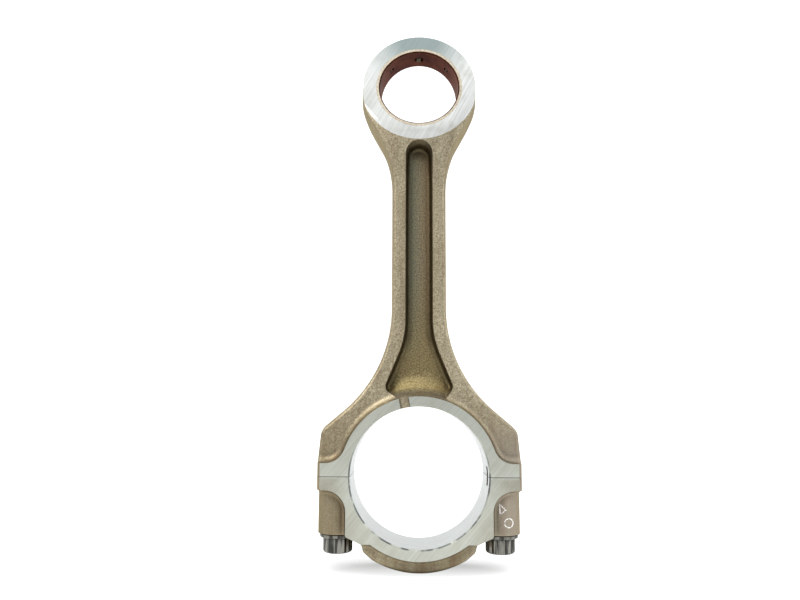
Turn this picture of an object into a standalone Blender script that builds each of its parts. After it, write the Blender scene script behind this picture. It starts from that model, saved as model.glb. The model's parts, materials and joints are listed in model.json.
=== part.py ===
"""Connecting rod of a medium diesel engine: a forged rod with a tapered small end, its bolted bearing
cap, the pin bush and two twelve-point cap bolts with washers.

Origin: middle of the flat foot under the cap. +Z runs up the rod to the small end, both bores run along Y
and the front side faces -Y. The driving dimensions are in millimetres from the crank bore's centre, and
become metres when a mesh is made. An empty at the crank bore's centre carries every part.
"""

import math

import bmesh
import bpy
import numpy as np
from mathutils import Matrix, Vector
from mathutils.geometry import delaunay_2d_cdt

MM = 0.001
GAP = 0.3

# Main dimensions
CENTRES = 218.0
CRANK_BORE_R = 36.5
BIG_HALF = 17.0
BOLT_X = 43.75
SPLIT_HALF_GAP = 0.15

# Forged shank: I section between a spread foot and the small end
DRAFT = math.radians(5.0)
EDGE_R = 1.8
SHANK_HALF_WIDTH = 15.4
SHANK_FOOT_Z = 56.0
SHANK_FOOT_R = 74.0
SHANK_HEAD_Z = 173.1
SHANK_HEAD_R = 60.0
SHANK_HALF = 11.0
PLATEAU_HALF = 12.6
PLATEAU_Z = (34.0, 74.0)
SHANK_SECTIONS_Z = (160.0, 145.0, 125.0, 105.0, 88.0, 74.0)

# Groove down each side of the shank, which spreads towards the big end
WEB_HALF = 4.0
GROOVE_HALF_WIDTH = 7.6
GROOVE_TOP_Z = 177.4
GROOVE_DRAFT = math.radians(8.0)
GROOVE_FLOOR_R = 2.5
GROOVE_NARROWS_Z = 73.8
GROOVE_NARROWS_R = 50.0
GROOVE_SPREAD = (18.9, 46.6)
GROOVE_SPREAD_R = 4.5
GROOVE_FOOT = (12.0, 37.5)
GROOVE_FOOT_Z = 33.0
WEB_RISE_R = 16.0

# Small end
EYE_R = 33.4
EYE_FACE_R = 32.4
EYE_HALF = 11.55
EYE_TAPER = 0.12
EYE_FALL = 0.30
EYE_SIDE_Z = 205.9
EYE_SIDE_R = 34.0
EYE_SHARP_Z = (172.0, 198.0)
BLEND_R = 1.2
BUSH_OUTER_R = 24.6
BUSH_BORE_R = 22.5
BUSH_CHAMFER = 0.7
TOP_OIL_R = 2.75
SIDE_OIL_R = 1.6

# Machined big-end faces
MACHINED_DRAFT = math.radians(8.0)
MACHINED_EDGE_R = 0.3
RING_R = 41.9
RING_STEP_R = 4.6
BOSS_X = 53.4
BOSS_Z = 24.1
BOSS_R = 7.0
SHOULDER_Z = 7.0
SHOULDER_R = 10.5
SIDE_X = 55.0
BORE_CHAMFER = 0.8
PAST_SPLIT = 9.0
PAST_SIDE_X = 64.0
OIL_NOTCH_DEG = 101.5
OIL_NOTCH_WIDTH = 5.3
OIL_NOTCH_DEPTH = 1.6

# Cap
CAP_RING_R = 42.4
CAP_STEP_R = 2.4
STRAP_R = 50.3
STRAP_END_DEG = 300
STRAP_HALF = 13.0
STRAP_FADES_X = (31.0, 36.5)
FOOT_Z = -49.9
COLUMN_R = 10.7
COLUMN_FOOT_Z = -33.2
ARCH_TOP_Z = -6.9
ARCH_R = 11.1
WEB_EDGE_X = 38.4
WEB_STEP_X = 30.2
WEB_FOOT_Z = -34.0
WEB_CORNER_Z = -30.3
SEAT_Z = -30.5
SEAT_R = 11.2

# Bolts and washers
BOLT_R = 5.9
BOLT_NECK_R = 5.2
BOLT_FIT_R = 6.05
BOLT_HOLE_R = 6.35
THREAD_HOLE_R = 6.2
THREAD_TOP_Z = 20.0
THREAD_HOLE_TOP_Z = 21.5
LEAD_IN = 0.6
HEAD_HEIGHT = 8.0
HEAD_POINT_R = 7.95
HEAD_VALLEY_R = 7.25
WASHER_R = 9.8
WASHER_BORE_R = 6.6
WASHER_THICK = 2.2
STACK_GAP = 0.1

# Bearing locating notches, beside the split on the +X side
NOTCH_Y = (-11.0, -5.0)
NOTCH_DEPTH = 1.5
NOTCH_HEIGHT = 5.0

# Edge loops of the forged surfaces, by distance from the outline, the machined face and the groove's rim
ARC_STEP = math.radians(6.0)
ARC_LONGEST = 7.0
EDGE_LOOPS = (0.88, 1.25, 1.75, 2.75)
RING_LOOPS = (0.0, MACHINED_EDGE_R, 1.0, 2.3, 4.7)
GROOVE_LOOPS = (0.0, 0.62, 1.1, 1.8, 3.15)
CAP_LOOPS = (0.0, 0.4, 1.0, 1.9, 3.0)


# ---------------------------------------------------------------- scene


def clear_scene():
    for obj in list(bpy.data.objects):
        bpy.data.objects.remove(obj, do_unlink=True)


def new_collection(name):
    collection = bpy.data.collections.new(name)
    bpy.context.scene.collection.children.link(collection)
    return collection


def new_material(name, colour, metallic, roughness):
    material = bpy.data.materials.new(name)
    material.use_nodes = True
    shader = material.node_tree.nodes["Principled BSDF"]
    shader.inputs["Base Color"].default_value = (*colour, 1.0)
    shader.inputs["Metallic"].default_value = metallic
    shader.inputs["Roughness"].default_value = roughness
    return material


def mesh_object(name, points, edges, faces, collection):
    mesh = bpy.data.meshes.new(name)
    mesh.from_pydata([Vector(p) * MM for p in points], edges, faces)
    obj = bpy.data.objects.new(name, mesh)
    collection.objects.link(obj)
    return obj


def shape_object(name, shape, collection):
    """An object that takes over a bmesh shape."""
    mesh = bpy.data.meshes.new(name)
    shape.to_mesh(mesh)
    shape.free()
    obj = bpy.data.objects.new(name, mesh)
    collection.objects.link(obj)
    return obj


def face_outwards(obj):
    shape = bmesh.new()
    shape.from_mesh(obj.data)
    bmesh.ops.recalc_face_normals(shape, faces=shape.faces)
    if shape.calc_volume(signed=True) < 0:
        bmesh.ops.reverse_faces(shape, faces=shape.faces)
    shape.to_mesh(obj.data)
    shape.free()


def make_cutter(obj, placed=None):
    obj.hide_render = True
    obj.display_type = "WIRE"
    if placed:
        obj.matrix_world = placed
    return obj


def combine(obj, other, operation):
    modifier = obj.modifiers.new(other.name, "BOOLEAN")
    modifier.operation = operation
    modifier.solver = "EXACT"
    modifier.object = other


def apply_modifiers(obj):
    graph = bpy.context.evaluated_depsgraph_get()
    mesh = bpy.data.meshes.new_from_object(obj.evaluated_get(graph))
    obj.modifiers.clear()
    old = obj.data
    obj.data = mesh
    bpy.data.meshes.remove(old)
    mesh.name = obj.name


def finish(obj, material, angle=25.0):
    obj.data.materials.clear()
    obj.data.materials.append(material)
    obj.data.shade_smooth()
    obj.data.set_sharp_from_angle(angle=math.radians(angle))


# ---------------------------------------------------------------- plane shapes


def rounded(corners):
    """Points of a path through (x, z, radius) corners, each corner turned on its radius."""
    path = []
    for i, (x, z, radius) in enumerate(corners):
        here = np.array([x, z])
        if radius == 0 or i in (0, len(corners) - 1):
            path.append(here)
            continue
        back = np.array(corners[i - 1][:2]) - here
        ahead = np.array(corners[i + 1][:2]) - here
        back = back / np.linalg.norm(back)
        ahead = ahead / np.linalg.norm(ahead)
        opening = math.acos(float(np.clip(back @ ahead, -1.0, 1.0)))
        middle = (back + ahead) / np.linalg.norm(back + ahead)
        centre = here + middle * (radius / math.sin(opening / 2))
        start = here + back * (radius / math.tan(opening / 2)) - centre
        turn = math.pi - opening
        side = back[0] * ahead[1] - back[1] * ahead[0]
        steps = max(2, math.ceil(turn / ARC_STEP), math.ceil(turn * radius / ARC_LONGEST))
        for k in range(steps + 1):
            angle = turn * k / steps * (-1.0 if side > 0 else 1.0)
            c, s = math.cos(angle), math.sin(angle)
            path.append(centre + np.array([c * start[0] - s * start[1], s * start[0] + c * start[1]]))
    return path


def arc(cx, cz, radius, first, last, steps):
    """Points on an arc, angles in degrees from +X towards +Z."""
    angles = np.radians(np.linspace(first, last, steps + 1))
    return [np.array([cx + radius * math.cos(a), cz + radius * math.sin(a)]) for a in angles]


def both_sides(half):
    """A closed loop from its +X half, which runs up the +X side and ends at x = 0."""
    mirrored = [np.array([-p[0], p[1]]) for p in reversed(half) if p[0] > 1e-6]
    return np.array([*half, *mirrored])


def inset(loop, distance):
    """The anticlockwise loop moved inwards, or outwards for a negative distance."""
    before = loop - np.roll(loop, 1, axis=0)
    after = np.roll(loop, -1, axis=0) - loop
    before /= np.linalg.norm(before, axis=1)[:, None]
    after /= np.linalg.norm(after, axis=1)[:, None]
    along = before + after
    along /= np.linalg.norm(along, axis=1)[:, None]
    inward = np.stack([-along[:, 1], along[:, 0]], axis=1)
    spread = np.clip((before * along).sum(axis=1), 0.5, 1.0)
    return loop + inward * (distance / spread)[:, None]


def inside_distance(points, loop):
    """How far inside the closed loop each point lies, negative outside it."""
    nearest = np.full(len(points), np.inf)
    inside = np.zeros(len(points), bool)
    for a, b in zip(loop, np.roll(loop, -1, axis=0)):
        side = b - a
        along = np.clip((points - a) @ side / (side @ side), 0.0, 1.0)
        nearest = np.minimum(nearest, np.linalg.norm(points - a - along[:, None] * side, axis=1))
        crosses = (a[1] > points[:, 1]) != (b[1] > points[:, 1])
        if a[1] != b[1]:
            where = a[0] + (points[:, 1] - a[1]) / (b[1] - a[1]) * side[0]
            inside ^= crosses & (points[:, 0] < where)
    return np.where(inside, nearest, -nearest)


# ---------------------------------------------------------------- surface profiles


def roll_off(top, distance, draft, radius):
    """Height of a drafted side that rolls over a rounded edge into a top face, by distance from its foot."""
    run = (top - radius * (1 - math.sin(draft))) * math.tan(draft)
    reach = run + radius * math.cos(draft)
    left = np.clip(reach - distance, 0.0, radius)
    rounded_edge = top - radius + np.sqrt(radius**2 - left**2)
    return np.where(distance < run, distance / math.tan(draft), rounded_edge)


def step_down(top, floor, distance, draft, radius):
    """Height of a drafted wall that falls from top to floor with a fillet at its foot."""
    depth = np.maximum(top - floor, 1e-6)
    fillet = np.minimum(radius, depth / (1 - math.sin(draft)))
    run = (depth - fillet * (1 - math.sin(draft))) * math.tan(draft)
    reach = run + fillet * math.cos(draft)
    left = np.clip(reach - distance, 0.0, fillet)
    foot = floor + fillet - np.sqrt(fillet**2 - left**2)
    wall = np.where(distance < run, top - distance / math.tan(draft), foot)
    return np.where(top > floor, wall, top)


def smooth_step(value, low, high):
    t = np.clip((value - low) / (high - low), 0.0, 1.0)
    return t * t * (3 - 2 * t)


def smooth_max(a, b, width):
    return (a + b + np.sqrt((a - b) ** 2 + width**2)) / 2


# ---------------------------------------------------------------- forgings


def flat_mesh(outline, loops, lines):
    """Points and triangles of the outline's inside, with the closed loops and the open lines as edges."""
    points, edges = [], []
    for path, closed in [(outline, True), *((p, True) for p in loops), *((p, False) for p in lines)]:
        first = len(points)
        points += [Vector(p) for p in path]
        edges += [(k - 1, k) for k in range(first + 1, len(points))]
        if closed:
            edges.append((len(points) - 1, first))
    flat, _, triangles, _, _, _ = delaunay_2d_cdt(points, edges, [], 0, 1e-4)
    flat = np.array([tuple(p) for p in flat])
    triangles = np.array([tuple(t) for t in triangles])
    middles = flat[triangles].mean(axis=1)
    triangles = triangles[inside_distance(middles, outline) > 1e-3]
    used, triangles = np.unique(triangles, return_inverse=True)
    return flat[used], triangles.reshape(-1, 3)


def forging(name, outline, loops, lines, height, collection):
    """A forging with its parting line on y = 0, along the outline.

    Its front half is the outline's inside lifted to height(points, depth), and a Mirror makes the back half.
    """
    flat, triangles = flat_mesh(outline, loops, lines)
    depth = inside_distance(flat, outline)
    at_parting = depth < 2e-3
    triangles = triangles[~at_parting[triangles].all(axis=1)]
    thick = np.where(at_parting, 0.0, height(flat, np.maximum(depth, 0.0)))
    points = [(x, -t, z) for (x, z), t in zip(flat, thick)]
    obj = mesh_object(name, points, [], triangles.tolist(), collection)
    mirror = obj.modifiers.new("back_half", "MIRROR")
    mirror.use_axis = (False, True, False)
    mirror.use_mirror_merge = True
    mirror.merge_threshold = 0.001 * MM
    apply_modifiers(obj)
    face_outwards(obj)
    return obj


def rod_outline():
    half = rounded(
        [
            (SIDE_X, -PAST_SPLIT, 0),
            (SIDE_X, SHOULDER_Z, 0),
            (BOSS_X, BOSS_Z, BOSS_R),
            (SHANK_HALF_WIDTH, SHANK_FOOT_Z, SHANK_FOOT_R),
            (SHANK_HALF_WIDTH, SHANK_HEAD_Z, SHANK_HEAD_R),
            (EYE_R, EYE_SIDE_Z, EYE_SIDE_R),
            (EYE_R, CENTRES, 0),
        ]
    )
    return both_sides(half + arc(0, CENTRES, EYE_R, 0, 90, 15)[1:])


def groove_outline():
    half = rounded(
        [
            (0.0, GROOVE_FOOT_Z, 0),
            (*GROOVE_FOOT, 0),
            (*GROOVE_SPREAD, GROOVE_SPREAD_R),
            (GROOVE_HALF_WIDTH, GROOVE_NARROWS_Z, GROOVE_NARROWS_R),
            (GROOVE_HALF_WIDTH, GROOVE_TOP_Z, 0),
        ]
    )
    return both_sides(half + arc(0, GROOVE_TOP_Z, GROOVE_HALF_WIDTH, 0, 90, 7)[1:])[:-1]


def machined_outline():
    """The rod's raised and machined big-end face: a ring that spreads into a shoulder at the split."""
    reach = RING_R + SHOULDER_R
    centre_z = SHOULDER_Z + SHOULDER_R
    centre_x = math.sqrt(reach**2 - centre_z**2)
    meets = math.degrees(math.atan2(centre_z, centre_x))
    half = [np.array([PAST_SIDE_X, -PAST_SPLIT - 3.0]), np.array([PAST_SIDE_X, SHOULDER_Z])]
    half += arc(centre_x, centre_z, SHOULDER_R, 270, 180 + meets, 6)
    half += arc(0, 0, RING_R, meets, 90, 15)[1:]
    return both_sides(half)


def eye_face(z):
    return EYE_HALF - EYE_TAPER * (z - CENTRES)


def rod_height(points, depth):
    x, z = points.T
    from_crank = np.hypot(x, z)
    from_pin = np.hypot(x, z - CENTRES)
    body = PLATEAU_HALF + (SHANK_HALF - PLATEAU_HALF) * smooth_step(z, *PLATEAU_Z)
    taper = eye_face(z)
    top = smooth_max(body, taper - EYE_FALL * (from_pin - EYE_FACE_R), BLEND_R)
    edge_r = EDGE_R - (EDGE_R - MACHINED_EDGE_R) * smooth_step(z, *EYE_SHARP_Z)
    outside_ring = np.maximum(-inside_distance(points, machined_outline()), 0.0)
    top = np.maximum(top, step_down(BIG_HALF, top, outside_ring, MACHINED_DRAFT, RING_STEP_R))
    rise = np.clip(WEB_RISE_R - np.maximum(from_crank - RING_R, 0.0), 0.0, WEB_RISE_R)
    floor = WEB_HALF + WEB_RISE_R - np.sqrt(WEB_RISE_R**2 - rise**2)
    in_groove = inside_distance(points, groove_outline())
    sunk = step_down(top, np.minimum(floor, top), np.maximum(in_groove, 0.0), GROOVE_DRAFT, GROOVE_FLOOR_R)
    top = np.where((in_groove > 0) & (from_crank > RING_R), sunk, top)
    return np.minimum(taper, roll_off(top, depth, DRAFT, edge_r))


def rod_forging(collection):
    outline = rod_outline()
    loops = [inset(outline, d) for d in EDGE_LOOPS]
    loops += [inset(machined_outline(), -d) for d in RING_LOOPS]
    loops += [inset(groove_outline(), d) for d in GROOVE_LOOPS]
    loops.append(np.array(arc(0, CENTRES, EYE_FACE_R, 0, 360, 60)[:-1]))
    below_eye = ((36.0, 52), (41.0, 34), (47.0, 24))
    above_ring = ((0.5, 16), (2, 16), (5, 16), (9, 13), (15, 11))
    lines = [arc(0, CENTRES, radius, 270 - half, 270 + half, 10) for radius, half in below_eye]
    lines += [arc(0, 0, RING_R + gap, 90 - half, 90 + half, 8) for gap, half in above_ring]
    edge_x = SHANK_HALF_WIDTH - EDGE_LOOPS[-1]
    lines += [np.array([(-edge_x, z), (edge_x, z)]) for z in SHANK_SECTIONS_Z]
    return forging("rod_body", outline, loops, lines, rod_height, collection)


def cap_outline():
    strap = arc(0, 0, STRAP_R, 270, STRAP_END_DEG, 7)
    corners = [
        (*strap[-1], 0),
        (WEB_STEP_X, -39.4, 4.0),
        (WEB_STEP_X + 1.0, -35.8, 1.2),
        (WEB_EDGE_X + 0.9, COLUMN_FOOT_Z + 1.1, 0.8),
        (BOLT_X + COLUMN_R, COLUMN_FOOT_Z, 2.5),
        (BOLT_X + COLUMN_R, ARCH_TOP_Z - 0.7, 0),
        (SIDE_X, ARCH_TOP_Z + 0.3, 0),
        (SIDE_X, PAST_SPLIT, 0),
    ]
    return both_sides(strap[:-1] + rounded(corners))


def cap_machined_outline():
    """The cap's machined face: the ring, a web out to each bolt column and the block beside the split."""
    web_x = math.sqrt(CAP_RING_R**2 - WEB_FOOT_Z**2)
    meets = 360 + math.degrees(math.atan2(WEB_FOOT_Z, web_x))
    half = arc(0, 0, CAP_RING_R, 270, meets, 8)
    web = [(web_x + 0.2, WEB_FOOT_Z, 0), (WEB_STEP_X, WEB_FOOT_Z, 1.0), (WEB_EDGE_X, WEB_CORNER_Z, 1.5)]
    half += rounded([*web, (WEB_EDGE_X, ARCH_TOP_Z - ARCH_R, 0)])
    half += arc(WEB_EDGE_X + ARCH_R, ARCH_TOP_Z - ARCH_R, ARCH_R, 180, 90, 7)[1:]
    half += [np.array([PAST_SIDE_X, ARCH_TOP_Z]), np.array([PAST_SIDE_X, PAST_SPLIT + 3.0])]
    return both_sides(half)


def cap_height(points, depth):
    x = np.abs(points[:, 0])
    column = np.sqrt(np.maximum(COLUMN_R**2 - (x - BOLT_X) ** 2, 0.0))
    strap = STRAP_HALF * (1 - smooth_step(x, *STRAP_FADES_X))
    outside = np.maximum(-inside_distance(points, cap_machined_outline()), 0.0)
    top = step_down(BIG_HALF, np.maximum(column, strap), outside, MACHINED_DRAFT, CAP_STEP_R)
    sharp = smooth_step(top, 14.0, 16.8) * smooth_step(-points[:, 1], 12.0, 25.0)
    edge_r = EDGE_R - (EDGE_R - MACHINED_EDGE_R) * sharp
    return np.minimum(top, roll_off(np.maximum(top, EDGE_R * 5), depth, DRAFT, edge_r))


def cap_forging(collection):
    outline = cap_outline()
    loops = [inset(outline, d) for d in EDGE_LOOPS]
    loops += [inset(cap_machined_outline(), -d) for d in CAP_LOOPS]
    xs = [s * x for s in (-1, 1) for x in (54.2, 49.8, 46.8, BOLT_X, 41.0)]
    heights = (COLUMN_FOOT_Z + 3.0, -20.0, ARCH_TOP_Z - MACHINED_EDGE_R)
    lines = [np.array([(x, z) for z in heights]) for x in xs]
    return forging("bearing_cap", outline, loops, lines, cap_height, collection)


# ---------------------------------------------------------------- plain solids


def box(name, low, high, collection):
    low, high = Vector(low) * MM, Vector(high) * MM
    shape = bmesh.new()
    placed = Matrix.Translation((low + high) / 2) @ Matrix.Diagonal((*(high - low), 1.0))
    bmesh.ops.create_cube(shape, size=1.0, matrix=placed)
    return shape_object(name, shape, collection)


def cylinder(name, radius, low, high, segments, collection):
    """A cylinder about its own Z from low to high."""
    shape = bmesh.new()
    placed = Matrix.Translation((0, 0, (low + high) / 2 * MM))
    depth = (high - low) * MM
    bmesh.ops.create_cone(
        shape,
        cap_ends=True,
        segments=segments,
        radius1=radius * MM,
        radius2=radius * MM,
        depth=depth,
        matrix=placed,
    )
    return shape_object(name, shape, collection)


def turned(name, profile, steps, collection, closed=False):
    """A turned body about its own Z from (radius, height) points that run down its outer side."""
    last = len(profile) - 1
    edges = [(k, k + 1) for k in range(last)]
    if closed:
        edges.append((last, 0))
    obj = mesh_object(name, [(r, 0, h) for r, h in profile], edges, [], collection)
    screw = obj.modifiers.new("turn", "SCREW")
    screw.steps = steps
    screw.render_steps = steps
    screw.use_merge_vertices = True
    screw.merge_threshold = 0.01 * MM
    apply_modifiers(obj)
    face_outwards(obj)
    return obj


# ---------------------------------------------------------------- cutters

ALONG_Y = Matrix.Rotation(math.radians(90), 4, "X")


def crank_bore_cutter(collection):
    """The crank bore with a chamfer at both faces, which runs on past them."""
    over = 2.0
    wide = CRANK_BORE_R + BORE_CHAMFER + over
    profile = [
        (0, BIG_HALF + over),
        (wide, BIG_HALF + over),
        (CRANK_BORE_R, BIG_HALF - BORE_CHAMFER),
        (CRANK_BORE_R, BORE_CHAMFER - BIG_HALF),
        (wide, -BIG_HALF - over),
        (0, -BIG_HALF - over),
    ]
    return make_cutter(turned("cut_crank_bore", profile, 96, collection), ALONG_Y)


def thread_cutter(name, x, collection):
    """A blind bolt hole in the rod: a lead-in, the fitted bore, the threads and the drill point."""
    profile = [
        (0, THREAD_HOLE_TOP_Z + 3.4),
        (THREAD_HOLE_R, THREAD_HOLE_TOP_Z),
        (THREAD_HOLE_R, 4.4),
        (BOLT_HOLE_R, 4.0),
        (BOLT_HOLE_R, SPLIT_HALF_GAP + LEAD_IN),
        (BOLT_HOLE_R + LEAD_IN + 4.0, -4.0 + SPLIT_HALF_GAP),
        (0, -4.0 + SPLIT_HALF_GAP),
    ]
    cutter = turned(name, profile, 28, collection)
    return make_cutter(cutter, Matrix.Translation((x * MM, 0, 0)))


def taper_cutter(name, side, collection):
    """A block whose near face is the tapered plane of the small end on one side."""
    cutter = box(name, (-50, 0, -60), (50, 40, 60), collection)
    lean = Matrix.Rotation(math.atan(EYE_TAPER), 4, "X")
    turn = Matrix.Rotation(0 if side > 0 else math.pi, 4, "Z")
    placed = Matrix.Translation((0, side * EYE_HALF * MM, CENTRES * MM)) @ turn @ lean
    return make_cutter(cutter, placed)


def cutter_set(collection):
    """Every cutter that the pieces share, by name."""
    out = {"crank_bore": crank_bore_cutter(collection)}
    pin = Matrix.Translation((0, 0, CENTRES * MM))
    eye_bore = cylinder("cut_eye_bore", BUSH_OUTER_R + GAP, -30, 30, 72, collection)
    out["eye_bore"] = make_cutter(eye_bore, pin @ ALONG_Y)
    above = box("cut_above_split", (-80, -40, -SPLIT_HALF_GAP), (80, 40, 30), collection)
    out["above_split"] = make_cutter(above)
    below = box("cut_below_split", (-80, -40, -30), (80, 40, SPLIT_HALF_GAP), collection)
    out["below_split"] = make_cutter(below)
    out["foot"] = make_cutter(box("cut_foot", (-30, -40, -60), (30, 40, FOOT_Z), collection))
    low = (-OIL_NOTCH_WIDTH / 2, -BIG_HALF - 4, 30.0)
    high = (OIL_NOTCH_WIDTH / 2, -BIG_HALF + OIL_NOTCH_DEPTH, RING_R + 1.2)
    notch = box("cut_oil_notch", low, high, collection)
    out["oil_notch"] = make_cutter(notch, Matrix.Rotation(math.radians(90.0 - OIL_NOTCH_DEG), 4, "Y"))
    for side, radius, degrees in (("top", TOP_OIL_R, 0), ("left", SIDE_OIL_R, -45), ("right", SIDE_OIL_R, 45)):
        drill = cylinder(f"cut_oil_{side}", radius, 10, 45, 16, collection)
        out[f"oil_{side}"] = make_cutter(drill, pin @ Matrix.Rotation(math.radians(degrees), 4, "Y"))
    for side, x in (("left", -BOLT_X), ("right", BOLT_X)):
        axis = Matrix.Translation((x * MM, 0, 0))
        out[f"thread_{side}"] = thread_cutter(f"cut_thread_{side}", x, collection)
        hole = cylinder(f"cut_bolt_hole_{side}", BOLT_HOLE_R, -45, 5, 28, collection)
        out[f"bolt_hole_{side}"] = make_cutter(hole, axis)
        seat = cylinder(f"cut_seat_{side}", SEAT_R, -45, SEAT_Z, 40, collection)
        out[f"seat_{side}"] = make_cutter(seat, axis)
    low = (CRANK_BORE_R - 3, NOTCH_Y[0], -NOTCH_HEIGHT)
    high = (CRANK_BORE_R + NOTCH_DEPTH, NOTCH_Y[1], NOTCH_HEIGHT)
    out["tang_notches"] = make_cutter(box("cut_tang_notches", low, high, collection))
    out["taper_front"] = taper_cutter("cut_taper_front", -1, collection)
    out["taper_back"] = taper_cutter("cut_taper_back", 1, collection)
    return out


# ---------------------------------------------------------------- pieces


def machine(obj, cutters, names):
    for name in names:
        combine(obj, cutters[name], "DIFFERENCE")
    apply_modifiers(obj)


def build_rod(collection, cutters):
    rod = rod_forging(collection)
    names = ("below_split", "crank_bore", "eye_bore", "thread_left", "thread_right", "oil_notch")
    machine(rod, cutters, (*names, "oil_top", "oil_left", "oil_right", "tang_notches"))
    return rod


def build_cap(collection, cutters):
    cap = cap_forging(collection)
    names = ("above_split", "crank_bore", "seat_left", "seat_right", "bolt_hole_left", "bolt_hole_right")
    machine(cap, cutters, (*names, "foot", "tang_notches"))
    return cap


def build_bush(collection, cutters):
    """The pin bush, its ends flush with the tapered faces of the small end."""
    tube = [(BUSH_OUTER_R, 20), (BUSH_OUTER_R, -20), (BUSH_BORE_R, -20), (BUSH_BORE_R, 20)]
    bush = turned("small_end_bush", tube, 72, collection, closed=True)
    bush.matrix_world = Matrix.Translation((0, 0, CENTRES * MM)) @ ALONG_Y
    machine(bush, cutters, ("taper_front", "taper_back"))
    bevel = bush.modifiers.new("chamfer", "BEVEL")
    bevel.width = BUSH_CHAMFER * MM
    bevel.segments = 1
    bevel.limit_method = "ANGLE"
    bevel.angle_limit = math.radians(60)
    machine(bush, cutters, ("oil_top", "oil_left", "oil_right"))
    return bush


def bolt_head(name, seat, collection):
    """A twelve-point prism turned down to a chamfer at its free end."""
    head = cylinder(name, HEAD_POINT_R, seat - HEAD_HEIGHT, seat, 24, collection)
    for vertex in head.data.vertices:
        turn = math.degrees(math.atan2(vertex.co.y, vertex.co.x))
        if round(turn / 15.0) % 2:
            vertex.co.xy *= HEAD_VALLEY_R / HEAD_POINT_R
    return make_cutter(head)


def build_bolt(name, x, collection, helpers):
    """A cap bolt with its head below and its origin on its own axis at the split."""
    seat = SEAT_Z - WASHER_THICK - 2 * STACK_GAP
    end = seat - HEAD_HEIGHT
    shank = [
        (0, THREAD_TOP_Z),
        (BOLT_R - 1.0, THREAD_TOP_Z),
        (BOLT_R, THREAD_TOP_Z - 1.1),
        (BOLT_R, 4.2),
        (BOLT_NECK_R, 3.2),
        (BOLT_NECK_R, 2.4),
        (BOLT_FIT_R, 1.6),
        (BOLT_FIT_R, -8.0),
        (BOLT_NECK_R, -9.0),
        (BOLT_NECK_R, -27.0),
        (BOLT_FIT_R, -28.0),
        (BOLT_FIT_R, seat - 3.0),
        (0, seat - 3.0),
    ]
    bolt = turned(name, shank, 24, collection)
    envelope = [
        (0, seat),
        (HEAD_VALLEY_R, seat),
        (HEAD_POINT_R + 0.4, seat - 0.8),
        (HEAD_POINT_R + 0.4, end + 1.0),
        (HEAD_POINT_R - 1.2, end),
        (4.2, end),
        (3.8, end + 0.4),
        (0, end + 0.4),
    ]
    head = bolt_head(f"{name}_head", seat, helpers)
    turning = make_cutter(turned(f"{name}_turning", envelope, 36, helpers))
    combine(head, turning, "INTERSECT")
    apply_modifiers(head)
    combine(bolt, head, "UNION")
    apply_modifiers(bolt)
    bolt.location.x = x * MM
    return bolt


def build_washer(name, x, collection):
    top = SEAT_Z - STACK_GAP
    low = top - WASHER_THICK
    bevel = 0.3
    profile = [
        (WASHER_BORE_R, top),
        (WASHER_R - bevel, top),
        (WASHER_R, top - bevel),
        (WASHER_R, low + bevel),
        (WASHER_R - bevel, low),
        (WASHER_BORE_R, low),
    ]
    washer = turned(name, profile, 40, collection, closed=True)
    washer.location.x = x * MM
    return washer


def build():
    clear_scene()
    parts = new_collection("connecting_rod")
    helpers = new_collection("cutters")
    cutters = cutter_set(helpers)
    forged = new_material("forged_steel", (0.32, 0.28, 0.22), 1.0, 0.5)
    bronze = new_material("bush_bronze", (0.42, 0.22, 0.12), 1.0, 0.35)
    bolt_steel = new_material("bolt_steel", (0.14, 0.14, 0.15), 1.0, 0.35)
    washer_steel = new_material("washer_steel", (0.2, 0.2, 0.19), 1.0, 0.35)
    finish(build_rod(parts, cutters), forged)
    finish(build_cap(parts, cutters), forged)
    finish(build_bush(parts, cutters), bronze)
    for side, x in (("left", -BOLT_X), ("right", BOLT_X)):
        finish(build_bolt(f"cap_bolt_{side}", x, parts, helpers), bolt_steel)
        finish(build_washer(f"bolt_washer_{side}", x, parts), washer_steel)
    crank_centre = bpy.data.objects.new("crank_centre", None)
    crank_centre.location.z = -FOOT_Z * MM
    parts.objects.link(crank_centre)
    for obj in [*parts.objects, *helpers.objects]:
        if obj != crank_centre:
            obj.parent = crank_centre


build()
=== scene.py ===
"""A forged connecting rod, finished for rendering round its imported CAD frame.

Each CAD node is replaced by a finer piece of the same shape: forgings with smooth fillets, machined and
bored faces with their own materials, twelve-point bolts with real threads, chamfered washers and a bronze
bush. Sizes are in millimetres from the crank bore's centre and come from the frame where it gives them.
"""

import json
import math

import bmesh
import bpy
import numpy as np
from mathutils import Matrix, Vector
from mathutils.geometry import delaunay_2d_cdt

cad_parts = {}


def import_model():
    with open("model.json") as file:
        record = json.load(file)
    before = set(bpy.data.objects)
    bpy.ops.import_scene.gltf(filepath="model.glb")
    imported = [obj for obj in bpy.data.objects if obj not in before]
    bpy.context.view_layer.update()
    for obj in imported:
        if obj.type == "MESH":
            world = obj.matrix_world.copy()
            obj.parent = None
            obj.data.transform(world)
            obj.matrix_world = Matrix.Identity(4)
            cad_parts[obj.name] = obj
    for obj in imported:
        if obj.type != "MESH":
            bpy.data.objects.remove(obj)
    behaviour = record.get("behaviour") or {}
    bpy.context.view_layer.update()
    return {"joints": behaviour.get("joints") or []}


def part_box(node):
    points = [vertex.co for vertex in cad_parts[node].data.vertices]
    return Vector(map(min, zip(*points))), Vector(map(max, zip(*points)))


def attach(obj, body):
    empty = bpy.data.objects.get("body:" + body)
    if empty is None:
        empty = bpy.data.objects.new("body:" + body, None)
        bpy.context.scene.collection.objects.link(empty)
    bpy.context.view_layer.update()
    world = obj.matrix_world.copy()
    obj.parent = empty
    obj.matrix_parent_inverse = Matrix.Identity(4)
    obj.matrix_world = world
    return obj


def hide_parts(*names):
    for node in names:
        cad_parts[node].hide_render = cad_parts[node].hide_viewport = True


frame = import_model()

MM = 0.001

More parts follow.
